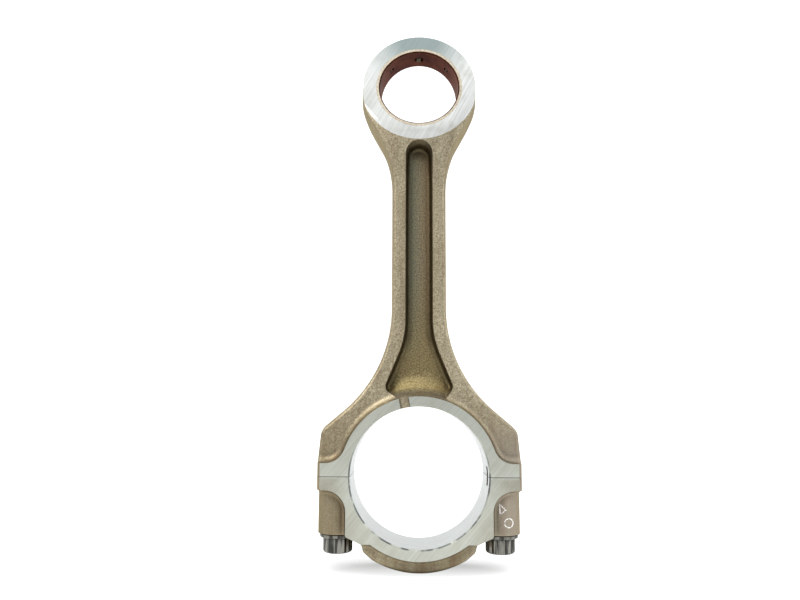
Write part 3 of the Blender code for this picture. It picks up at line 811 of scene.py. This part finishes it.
def twelve_point_head():
    """Two hexagonal prisms a twelfth of a turn apart, turned to a chamfer at the free end."""
    corner = HEAD_ACROSS_FLATS / 2 / math.cos(math.radians(30))
    head = cylinder("bolt_head", corner, HEAD_END_Z, HEAD_TOP_Z, 6)
    other = cylinder("bolt_head_other", corner, HEAD_END_Z, HEAD_TOP_Z, 6)
    combine(head, [moved(other, Matrix.Rotation(math.radians(30), 4, "Z"))], "UNION")
    envelope = [
        (0, HEAD_TOP_Z),
        (HEAD_POINT_R - 0.5, HEAD_TOP_Z),
        (HEAD_POINT_R, HEAD_TOP_Z - 0.5),
        *((HEAD_POINT_R - inwards, HEAD_END_Z + rise) for inwards, rise in HEAD_ROUNDING),
        *((radius, HEAD_END_Z + rise) for radius, rise in HEAD_DISH),
    ]
    combine(head, [turned("bolt_head_turning", envelope, 96)], "INTERSECT")
    return head


def cap_bolt(x):
    bolt = threaded_shank()
    combine(bolt, [twelve_point_head()], "UNION")
    return moved(bolt, Matrix.Translation((x, 0, 0)))


def washer(x):
    edge = 0.5
    profile = [
        (WASHER_BORE_R, WASHER_TOP_Z),
        (WASHER_R - edge, WASHER_TOP_Z),
        (WASHER_R, WASHER_TOP_Z - edge),
        (WASHER_R, WASHER_LOW_Z + edge),
        (WASHER_R - edge, WASHER_LOW_Z),
        (WASHER_BORE_R + edge, WASHER_LOW_Z),
        (WASHER_BORE_R, WASHER_LOW_Z + edge),
    ]
    return moved(turned("washer", profile, 96, closed=True), Matrix.Translation((x, 0, 0)))


# ---------------------------------------------------------------- etched marks


def etched(name, corners):
    """A shallow bright line round a loop of (x, z) points on the front of the right bolt column."""
    path = []
    for a, b in zip(corners, corners[1:] + corners[:1]):
        a, b = np.array(a), np.array(b)
        count = max(1, math.ceil(np.linalg.norm(b - a) / MARK_STEP))
        path += [a + (b - a) * k / count for k in range(count)]
    path = np.array(path)
    inner = inset(path, MARK_WIDTH / 2)
    outer = inset(path, -MARK_WIDTH / 2)
    points = []
    for line, proud in ((outer, 0.0), (path, MARK_PROUD), (inner, 0.0)):
        column = np.sqrt(COLUMN_R**2 - (line[:, 0] - BOLT_X) ** 2)
        points += [(x, -y - proud - 0.01, z) for (x, z), y in zip(line, column)]
    count = len(path)
    faces = []
    for k in range(count):
        ahead = (k + 1) % count
        for band in (0, count):
            faces.append((band + k, band + ahead, band + count + ahead, band + count + k))
    obj = mesh_object(name, points, [], faces)
    solid = obj.modifiers.new("thickness", "SOLIDIFY")
    solid.thickness = MARK_THICKNESS * MM
    solid.offset = -1
    apply_modifiers(obj)
    face_outwards(obj)
    return obj


# ---------------------------------------------------------------- material nodes


class Look:
    """A material under construction: add() makes a node, and an input given as a socket is linked."""

    def __init__(self, name):
        self.material = bpy.data.materials.new(name)
        self.material.use_nodes = True
        self.tree = self.material.node_tree
        self.shader = self.tree.nodes["Principled BSDF"]
        self.place = self.add("TexCoord").outputs["Object"]

    def add(self, kind, inputs=None, **settings):
        node = self.tree.nodes.new("ShaderNode" + kind)
        for key, value in settings.items():
            setattr(node, key, value)
        self.feed(node, inputs or {})
        return node

    def feed(self, node, inputs):
        for key, value in inputs.items():
            if isinstance(value, bpy.types.NodeSocket):
                self.tree.links.new(value, node.inputs[key])
            else:
                node.inputs[key].default_value = value

    def math(self, operation, *values, clamp=False):
        return self.add("Math", dict(enumerate(values)), operation=operation, use_clamp=clamp).outputs[0]

    def plus(self, a, b, clamp=False):
        return self.math("ADD", a, b, clamp=clamp)

    def times(self, a, b, clamp=False):
        return self.math("MULTIPLY", a, b, clamp=clamp)

    def size(self, value):
        return self.math("ABSOLUTE", value)

    def parts(self, vector):
        """The X, Y and Z of a vector socket."""
        return self.add("SeparateXYZ", {"Vector": vector}).outputs

    def distance_from(self, across, up, height):
        """Distance from the line along Y at x = 0 and this height."""
        rise = self.math("SUBTRACT", up, height)
        return self.math("SQRT", self.plus(self.times(across, across), self.times(rise, rise)))

    def stretched(self, scale, turn=(0, 0, 0)):
        """Object coordinates turned and then scaled, with scale in cycles per millimetre."""
        turned_place = self.add("Mapping", {"Vector": self.place, "Rotation": turn}).outputs[0]
        return self.add("Mapping", {"Vector": turned_place, "Scale": [s / MM for s in scale]}).outputs[0]

    def noise(self, place, detail=2.0, roughness=0.5, scale=1.0):
        inputs = {"Vector": place, "Scale": scale, "Detail": detail, "Roughness": roughness}
        return self.add("TexNoise", inputs).outputs["Fac"]

    def pits(self, place):
        return self.add("TexVoronoi", {"Vector": place, "Scale": 1.0}).outputs["Distance"]

    def ramp(self, value, low, high, to_low=0.0, to_high=1.0):
        inputs = {"Value": value, "From Min": low, "From Max": high, "To Min": to_low, "To Max": to_high}
        return self.add("MapRange", inputs).outputs["Result"]

    def mix(self, factor, a, b):
        inputs = {"Factor": factor, 6: a, 7: b}
        node = self.add("Mix", data_type="RGBA")
        self.feed(node, inputs)
        return node.outputs[2]

    def height(self, socket):
        """Uses a height in millimetres as bump."""
        bump = self.add("Bump", {"Height": socket, "Strength": 1.0, "Distance": MM})
        self.feed(self.shader, {"Normal": bump.outputs["Normal"]})

    def finish(self, colour, metallic, roughness):
        inputs = {"Base Color": colour, "Metallic": metallic, "Roughness": roughness}
        self.feed(self.shader, inputs)
        return self.material


def rgb(red, green, blue):
    return (red, green, blue, 1.0)


def forged_steel():
    """Shot-blasted forging: brown-grey and grainy, with dark scale in its groove, painted shade in its
    hollows and along the groove's walls, and a painted highlight where the web rises.
    """
    look = Look("forged_steel")
    across, through, up = look.parts(look.place)
    grain = look.noise(look.stretched((1.25, 1.25, 1.25)), detail=2.5, roughness=0.65)
    drawn = look.noise(look.stretched((0.32, 0.32, 0.012)), detail=2.0)
    blotch = look.noise(look.stretched((0.07, 0.07, 0.035)), detail=3.0)
    pits = look.pits(look.stretched((0.9, 0.9, 0.9)))

    # Bare metal, browned by oil in blotches, and darker over the big end
    bare = look.mix(look.ramp(grain, 0.34, 0.68), rgb(0.275, 0.225, 0.143), rgb(0.66, 0.59, 0.43))
    stain = look.plus(look.ramp(blotch, 0.35, 0.68, 0.0, 0.35), look.ramp(drawn, 0.45, 0.65, 0.0, 0.18))
    darkening = look.plus(stain, look.ramp(up, *DARKER_BELOW_Z, 0.0, 0.45), clamp=True)
    oil = look.mix(look.ramp(drawn, 0.40, 0.62), rgb(0.198, 0.165, 0.092), rgb(0.202, 0.140, 0.085))
    browned = look.mix(darkening, bare, oil)

    # Greyer at the lower right, painted shade on the forging's sideways-facing faces, and darker on the left
    # bolt column
    greyer = look.times(look.ramp(across, *GREYER_RIGHT_X), look.ramp(up, *GREYER_BELOW_Z, 0.0, 0.5))
    greyed = look.mix(greyer, browned, rgb(0.38, 0.34, 0.30))
    sideways = look.parts(look.add("NewGeometry").outputs["Normal"])["X"]
    on_side = look.ramp(look.size(sideways), 0.35, 0.95, 0.0, 0.6)
    painted_side_shade = look.times(on_side, look.ramp(up, *NECK_Z, 0.5, 1.0))
    shaded = look.mix(painted_side_shade, greyed, rgb(0.150, 0.125, 0.080))
    left_column = look.times(look.ramp(across, *LEFT_COLUMN_X), look.ramp(up, *COLUMN_Z, 0.0, 0.45))
    # This colour carries the painted side shade as well as the darker left column
    worn = look.mix(left_column, shaded, rgb(0.17, 0.135, 0.085))

    # Scale in the groove: green-brown on its left, red-brown on its right, with painted shade along its walls
    # and its top end
    side_tint = look.mix(look.ramp(across, *GROOVE_SIDES_X), rgb(0.135, 0.165, 0.135), rgb(0.19, 0.125, 0.08))
    tint = look.mix(look.ramp(up, *GROOVE_TINT_Z), rgb(0.16, 0.122, 0.058), side_tint)
    scale = look.mix(look.ramp(grain, 0.38, 0.66, 0.0, 0.48), tint, rgb(0.58, 0.48, 0.25))
    depth = look.size(through)
    groove_edge = look.ramp(up, *GROOVE_MASK_Z, *GROOVE_MASK_X)
    inside = look.math("SUBTRACT", groove_edge, look.size(across))
    in_groove = look.times(look.ramp(depth, *GROOVE_DEPTH), look.ramp(inside, 0.0, 1.5 * MM))
    top = CRANK.z + GROOVE_TOP_Z * MM
    below_eye = look.ramp(up, top + 9.0 * MM, top + 7.5 * MM)
    above_ring = look.ramp(up, CRANK.z + 32 * MM, CRANK.z + 36 * MM)
    on_web = look.times(in_groove, look.times(below_eye, above_ring))
    # Painted shade near the groove's walls and its rounded top end
    near_side = look.ramp(inside, 2.6 * MM, 5.8 * MM, 0.8, 0.0)
    near_top = look.ramp(up, top - 2.0 * MM, top + 4.0 * MM, 0.0, 0.8)
    painted_wall_shade = look.math("MAXIMUM", near_side, near_top)
    # Painted highlight, yellow-brown, where the web rises towards the ring, over the groove's scale
    gold = look.mix(look.ramp(grain, 0.40, 0.62), rgb(0.38, 0.29, 0.125), rgb(0.66, 0.54, 0.27))
    scale_and_rise_highlight = look.mix(look.ramp(depth, *WEB_RISE_DEPTH, 0.0, 0.85), scale, gold)
    steel = look.mix(on_web, worn, look.mix(painted_wall_shade, scale_and_rise_highlight, rgb(0.06, 0.045, 0.024)))

    # Painted shade in the hollows, from ambient occlusion
    hollow_shade = look.add("AmbientOcclusion", {"Distance": 7 * MM}, samples=6).outputs["AO"]
    colour = look.mix(look.ramp(hollow_shade, 0.42, 0.90, 0.93, 0.0), steel, rgb(0.05, 0.038, 0.02))
    look.height(look.plus(look.times(grain, 0.13), look.times(pits, 0.05)))
    look.feed(look.shader, {"Specular Tint": rgb(0.62, 0.55, 0.42)})
    return look.finish(colour, 0.88, look.ramp(grain, 0.3, 0.7, 0.36, 0.50))


def machined_steel(name, turn_deg, dark, pale):
    """A milled face: parallel cutter lines and slow changes of shade."""
    look = Look(name)
    turn = (0, math.radians(turn_deg), 0)
    lines = look.noise(look.stretched((1.1, 0.3, 0.012), turn), detail=3.0, roughness=0.6)
    bands = look.noise(look.stretched((0.22, 0.05, 0.006), turn), detail=1.5)
    stain = look.noise(look.stretched((0.09, 0.09, 0.09)), detail=4.0)
    shade = look.plus(look.times(lines, 0.65), look.times(bands, 0.35))
    base = look.mix(look.ramp(shade, 0.36, 0.64), dark, pale)
    colour = look.mix(look.ramp(stain, 0.5, 0.78, 0.0, 0.4), base, rgb(0.36, 0.34, 0.28))
    look.height(look.times(lines, 0.05))
    return look, colour, look.ramp(bands, 0.3, 0.7, 0.44, 0.32)


def milled_steel():
    """The big end's milled faces: oil stains below the split and beside the bolts, and painted shade on the
    lower part of the bore's chamfer.
    """
    dark, pale = rgb(0.44, 0.45, 0.39), rgb(0.555, 0.57, 0.51)
    look, colour, roughness = machined_steel("milled_steel", -40, dark, pale)
    across, _, up = look.parts(look.place)
    outward = look.size(across)
    below_split = look.times(look.ramp(up, CRANK.z, CRANK.z - 1.5 * MM), look.ramp(outward, *SPLIT_STAIN_X))
    near_bolt = look.times(look.ramp(up, *BOLT_STAIN_Z), look.ramp(outward, *BOLT_STAIN_X))
    cloud = look.noise(look.stretched((0.16, 0.16, 0.16)), detail=3.0)
    amount = look.plus(look.times(below_split, 0.55), look.times(near_bolt, 0.35))
    stained = look.times(amount, look.ramp(cloud, 0.30, 0.55, 0.35, 1.0), clamp=True)
    steel = look.mix(stained, colour, rgb(0.27, 0.235, 0.165))
    # Painted shade on the bore's chamfer, fading out above the bore's centre
    chamfer_end = (CRANK_BORE_R + BORE_CHAMFER) * MM
    in_chamfer = look.ramp(look.distance_from(across, up, CRANK.z), chamfer_end, chamfer_end - 0.1 * MM)
    below = look.ramp(up, CRANK.z + 16 * MM, CRANK.z + 4 * MM)
    chamfer_shade = look.times(look.times(in_chamfer, below), look.ramp(cloud, 0.40, 0.54, 0.05, 0.85))
    return look.finish(look.mix(chamfer_shade, steel, rgb(0.075, 0.085, 0.085)), 0.85, roughness)


def leaning_faces():
    """The small end's faces: the milled steel painted paler as a lit copy, with painted shade to the left and
    a painted blue-grey reflection towards their top.
    """
    # Paler colours than the milled faces, as painted light
    dark, pale = rgb(0.66, 0.67, 0.65), rgb(0.90, 0.91, 0.89)
    look, colour, roughness = machined_steel("leaning_faces", -28, dark, pale)
    across, _, up = look.parts(look.place)
    shaded = look.mix(look.ramp(across, 12 * MM, -24 * MM, 0.0, 0.30), colour, rgb(0.46, 0.49, 0.48))
    # Painted blue-grey reflection towards the top of the small end
    far = look.distance_from(across, up, CRANK.z + (CENTRES + EYE_R) * MM)
    stained = look.mix(look.ramp(far, 12 * MM, 34 * MM, 0.85, 0.0), shaded, rgb(0.235, 0.305, 0.30))
    return look.finish(stained, 0.85, roughness)


def bored_steel():
    """The bored housing: fine rings round the bore."""
    look = Look("bored_steel")
    rings = look.noise(look.stretched((0.05, 3.0, 0.05)), detail=2.0)
    bands = look.noise(look.stretched((0.04, 0.5, 0.04)), detail=2.0)
    colour = look.mix(bands, rgb(0.295, 0.315, 0.312), rgb(0.375, 0.395, 0.392))
    look.height(look.times(rings, 0.012))
    return look.finish(colour, 0.85, look.ramp(rings, 0.3, 0.7, 0.24, 0.36))


def bush_bronze():
    """Bored bronze, painted near-black red-brown as shade inside the bore, with fine rings and paler worn
    patches.
    """
    look = Look("bush_bronze")
    rings = look.noise(look.stretched((0.06, 2.5, 0.06)), detail=2.0)
    patch = look.noise(look.stretched((0.12, 0.12, 0.12)), detail=3.0)
    worn = look.plus(look.times(rings, 0.4), look.times(patch, 0.6))
    colour = look.mix(look.ramp(worn, 0.38, 0.66), rgb(0.022, 0.007, 0.003), rgb(0.085, 0.028, 0.014))
    look.height(look.times(rings, 0.015))
    look.feed(look.shader, {"Specular IOR Level": 0.08, "Specular Tint": rgb(0.80, 0.42, 0.28)})
    return look.finish(colour, 0.45, look.ramp(rings, 0.3, 0.7, 0.40, 0.55))


def lit_bronze_edge():
    """The bush's turned end faces: the same bronze painted much paler, as a lit copy."""
    look = Look("lit_bronze_edge")
    rings = look.noise(look.stretched((1.2, 1.2, 1.2)), detail=2.0)
    colour = look.mix(look.ramp(rings, 0.35, 0.65), rgb(0.52, 0.43, 0.32), rgb(0.78, 0.70, 0.56))
    look.height(look.times(rings, 0.01))
    return look.finish(colour, 0.85, 0.34)


def hardened_steel(name, dark, pale, grain_size):
    """Dark hardened steel, worn brighter in patches, with painted shade in its crevices."""
    look = Look(name)
    wear = look.noise(look.stretched((0.55, 0.55, 0.05)), detail=2.0)
    grain = look.noise(look.stretched((grain_size, grain_size, grain_size)), detail=2.0)
    worn = look.mix(look.ramp(wear, 0.42, 0.58), dark, pale)
    # Painted shade in crevices, from ambient occlusion
    crevice_shade = look.add("AmbientOcclusion", {"Distance": 2.4 * MM}, samples=6).outputs["AO"]
    colour = look.mix(look.ramp(crevice_shade, 0.45, 0.95, 0.9, 0.0), worn, rgb(0.018, 0.017, 0.015))
    look.height(look.times(grain, 0.012))
    return look.finish(colour, 1.0, look.ramp(wear, 0.3, 0.7, 0.26, 0.18))


def bolt_steel():
    return hardened_steel("bolt_steel", rgb(0.050, 0.050, 0.045), rgb(0.235, 0.23, 0.205), 1.8)


def washer_steel():
    # Dark hardened steel, its pale tone lowered below the bolt's as painted shade between the cap and the
    # bolt head
    return hardened_steel("washer_steel", rgb(0.055, 0.053, 0.046), rgb(0.20, 0.195, 0.17), 0.8)


def etched_steel():
    """The pale metal that an etching pen leaves, broken up where the pen skipped."""
    look = Look("etched_steel")
    skip = look.noise(look.stretched((1.7, 1.7, 1.7)), detail=2.0)
    colour = look.mix(look.ramp(skip, 0.40, 0.52), rgb(0.28, 0.24, 0.20), rgb(0.94, 0.92, 0.88))
    look.height(look.times(skip, 0.05))
    return look.finish(colour, 0.5, 0.55)


# ---------------------------------------------------------------- faces and their materials

FORGED, MACHINED, LEANING, BORED = range(4)
CLOSE = 0.03


def steel_faces(centres, normals):
    """Which material each face of the rod or the cap has, by what cut it."""
    x, y, z = centres.T
    index = np.full(len(centres), FORGED)
    flat = np.abs(normals[:, 1]) > 0.99
    index[flat & (np.abs(y) > BIG_HALF - CLOSE)] = MACHINED
    index[flat & (np.abs(np.abs(y) - eye_face(z)) < CLOSE)] = LEANING
    index[(np.abs(z) < SPLIT_HALF_GAP + CLOSE) & (np.abs(normals[:, 2]) > 0.99)] = MACHINED
    index[(np.abs(x) > SIDE_X - CLOSE) & (np.abs(normals[:, 0]) > 0.99)] = MACHINED
    index[(z < FOOT_Z + CLOSE) & (normals[:, 2] < -0.99)] = MACHINED
    index[(np.abs(z - SEAT_Z) < CLOSE) & (np.abs(normals[:, 2]) > 0.99)] = MACHINED
    in_notch = (z > CRANK_BORE_R - 1) & (np.abs(y) < BIG_HALF) & (np.abs(x) < 2 * OIL_NOTCH_WIDTH)
    index[in_notch & (np.hypot(x, z) < RING_R) & (np.abs(y) < BIG_HALF - CLOSE)] = FORGED
    index[~flat & (np.hypot(x, z) < CRANK_BORE_R + BORE_CHAMFER + CLOSE)] = MACHINED
    index[np.hypot(x, z) < CRANK_BORE_R + CLOSE] = BORED
    index[~flat & (np.hypot(x, z - CENTRES) < BUSH_OUTER_R + PRESS_GAP + CLOSE)] = BORED
    for bolt_x in (-BOLT_X, BOLT_X):
        index[(np.hypot(x - bolt_x, y) < BOLT_HOLE_R + CLOSE) & (z < THREAD_HOLE_Z[1] + CLOSE)] = MACHINED
    return index


def bush_faces(_, normals):
    """The bore and its chamfers are 0 and the end faces are 1."""
    return (np.abs(normals[:, 1]) > 0.9).astype(int)


# ---------------------------------------------------------------- the object


def place(obj, name, body, slot, node=None):
    obj.name = name
    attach(obj, body)
    if node:
        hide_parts(node)


def build_object():
    steels = [forged_steel(), milled_steel(), leaning_faces(), bored_steel()]
    rod = machined_rod()
    assign(rod, steels, steel_faces)
    soften(rod)
    place(rod, "forged_rod", "rod", "forged_steel", "rod_body")
    cap = machined_cap()
    assign(cap, steels, steel_faces)
    soften(cap)
    place(cap, "forged_cap", "cap", "forged_steel", "bearing_cap")
    bush = pin_bush()
    assign(bush, [bush_bronze(), lit_bronze_edge()], bush_faces)
    soften(bush)
    place(bush, "bronze_bush", "rod", "bush_bronze", "small_end_bush")
    bolt_look, washer_look = bolt_steel(), washer_steel()
    for side, x in (("left", -BOLT_X), ("right", BOLT_X)):
        bolt = cap_bolt(x)
        assign(bolt, [bolt_look])
        soften(bolt, 20.0)
        place(bolt, f"twelve_point_bolt_{side}", f"bolt_{side}", "bolt_steel", f"cap_bolt_{side}")
        ring = washer(x)
        assign(ring, [washer_look])
        soften(ring)
        place(ring, f"hardened_washer_{side}", f"washer_{side}", "washer_steel", f"bolt_washer_{side}")
    etching = etched_steel()
    middle_x, middle_z = RING_MARK_CENTRE
    turns = np.radians(np.arange(0, 360, 15))
    ring_mark = [(middle_x + RING_MARK_R * math.cos(a), middle_z + RING_MARK_R * math.sin(a)) for a in turns]
    for name, corners in (("etched_triangle", list(reversed(TRIANGLE_MARK))), ("etched_ring", ring_mark)):
        mark = etched(name, corners)
        assign(mark, [etching])
        soften(mark)
        place(mark, name, "cap", "forged_steel")


# ---------------------------------------------------------------- stage, light and camera

FLOOR_Z = -0.08
SHADE_Z = -0.0002
SHADE_HALF = (0.16, 0.12)
SHADE_REACH = 0.07
FLOOR_HALF_WIDTH = 1.6
FLOOR_FRONT = -1.2
FLOOR_BACK = 0.55
SWEEP_R = 0.35
SWEEP_TOP = 1.6
FRONT_LEVEL = 0.40
SIDE_LEVEL = 1.0
TOP_EXTRA = 0.8


def sweep():
    """The pale floor, low enough for the cap to come off above it, which curves up into a backdrop."""
    path = [(FLOOR_FRONT, FLOOR_Z), (FLOOR_BACK, FLOOR_Z)]
    for turn in np.radians(np.arange(7.5, 90.1, 7.5)):
        path.append((FLOOR_BACK + SWEEP_R * math.sin(turn), FLOOR_Z + SWEEP_R * (1 - math.cos(turn))))
    path.append((FLOOR_BACK + SWEEP_R, SWEEP_TOP))
    points = [(side * FLOOR_HALF_WIDTH, y, z) for y, z in path for side in (-1, 1)]
    faces = [(2 * k, 2 * k + 1, 2 * k + 3, 2 * k + 2) for k in range(len(path) - 1)]
    mesh = bpy.data.meshes.new("floor_sweep")
    mesh.from_pydata(points, [], faces)
    floor = link(bpy.data.objects.new("floor_sweep", mesh))
    floor.data.shade_smooth()
    look = Look("pale_floor")
    cloud = look.noise(look.stretched((0.004, 0.004, 0.004)), detail=3.0)
    colour = look.mix(cloud, rgb(0.90, 0.90, 0.89), rgb(0.94, 0.94, 0.93))
    glow = look.ramp(look.parts(look.place)["Y"], 0.1, 0.8, 0.10, 0.35)
    look.feed(look.shader, {"Emission Color": rgb(1, 1, 1), "Emission Strength": glow})
    floor.data.materials.append(look.finish(colour, 0.0, 0.6))


def contact_shade():
    """A clear sheet under the foot that only shades what lies close above it, and hides nothing below."""
    mesh = bpy.data.meshes.new("contact_shade")
    corners = [(x, y, SHADE_Z) for x, y in ((-1, -1), (1, -1), (1, 1), (-1, 1))]
    mesh.from_pydata([(x * SHADE_HALF[0], y * SHADE_HALF[1], z) for x, y, z in corners], [], [(0, 1, 2, 3)])
    sheet = link(bpy.data.objects.new("contact_shade", mesh))
    look = Look("contact_shade")
    near = look.add("AmbientOcclusion", {"Distance": SHADE_REACH}, samples=16).outputs["AO"]
    back = look.ramp(look.parts(look.place)["Y"], -20 * MM, 25 * MM)
    darkest = look.mix(back, rgb(0.70, 0.70, 0.70), rgb(0.17, 0.17, 0.165))
    shade = look.mix(look.ramp(near, 0.35, 1.0), darkest, rgb(1, 1, 1))
    clear = look.add("BsdfTransparent", {"Color": shade})
    output = look.tree.nodes["Material Output"]
    look.feed(output, {"Surface": clear.outputs["BSDF"]})
    sheet.data.materials.append(look.material)


def world():
    """A bright room that is dimmer behind the camera, but white wherever the camera sees it."""
    surroundings = bpy.data.worlds.new("studio")
    surroundings.use_nodes = True
    tree = surroundings.node_tree
    background = tree.nodes["Background"]
    direction = tree.nodes.new("ShaderNodeTexCoord").outputs["Generated"]
    split = tree.nodes.new("ShaderNodeSeparateXYZ")
    tree.links.new(direction, split.inputs[0])
    total = tree.nodes.new("ShaderNodeMath")
    ramps = (("Y", (-0.8, 0.4, FRONT_LEVEL, SIDE_LEVEL)), ("Z", (0.0, 0.9, 0.0, TOP_EXTRA)))
    for k, (axis, values) in enumerate(ramps):
        ramp = tree.nodes.new("ShaderNodeMapRange")
        for key, value in zip(("From Min", "From Max", "To Min", "To Max"), values):
            ramp.inputs[key].default_value = value
        tree.links.new(split.outputs[axis], ramp.inputs["Value"])
        tree.links.new(ramp.outputs["Result"], total.inputs[k])
    seen = tree.nodes.new("ShaderNodeMath")
    seen.operation = "MAXIMUM"
    tree.links.new(total.outputs[0], seen.inputs[0])
    tree.links.new(tree.nodes.new("ShaderNodeLightPath").outputs["Is Camera Ray"], seen.inputs[1])
    tree.links.new(seen.outputs[0], background.inputs["Strength"])
    background.inputs["Color"].default_value = rgb(0.97, 0.985, 1.0)
    bpy.context.scene.world = surroundings


def softbox(name, where, towards, width, height, watts, colour=(1, 1, 1)):
    light = bpy.data.lights.new(name, "AREA")
    light.shape = "RECTANGLE"
    light.size = width
    light.size_y = height
    light.energy = watts
    light.color = colour
    lamp = link(bpy.data.objects.new(name, light))
    lamp.location = where
    lamp.rotation_euler = (Vector(towards) - Vector(where)).to_track_quat("-Z", "Y").to_euler()


def lights():
    middle = (0, 0, 0.15)
    softbox("key_above_left", (-0.55, -0.55, 0.85), middle, 0.4, 0.4, 4.5, (1.0, 0.97, 0.92))
    softbox("fill_right", (0.85, -0.25, 0.45), middle, 0.4, 0.7, 1.2, (0.93, 0.97, 1.0))


def camera():
    data = bpy.data.cameras.new("camera")
    data.lens = CAMERA_LENS
    data.sensor_width = CAMERA_SENSOR
    data.clip_start = 0.01
    view = link(bpy.data.objects.new("camera", data))
    heading = Matrix.Rotation(-CAMERA_RIGHT, 4, "Z") @ Matrix.Rotation(math.pi / 2 + CAMERA_UP, 4, "X")
    view.matrix_world = Matrix.Translation(CAMERA_AT) @ heading @ Matrix.Rotation(CAMERA_ROLL, 4, "Z")
    bpy.context.scene.camera = view


build_object()
sweep()
contact_shade()
world()
lights()
camera()
bpy.context.scene.view_settings.view_transform = "Standard"
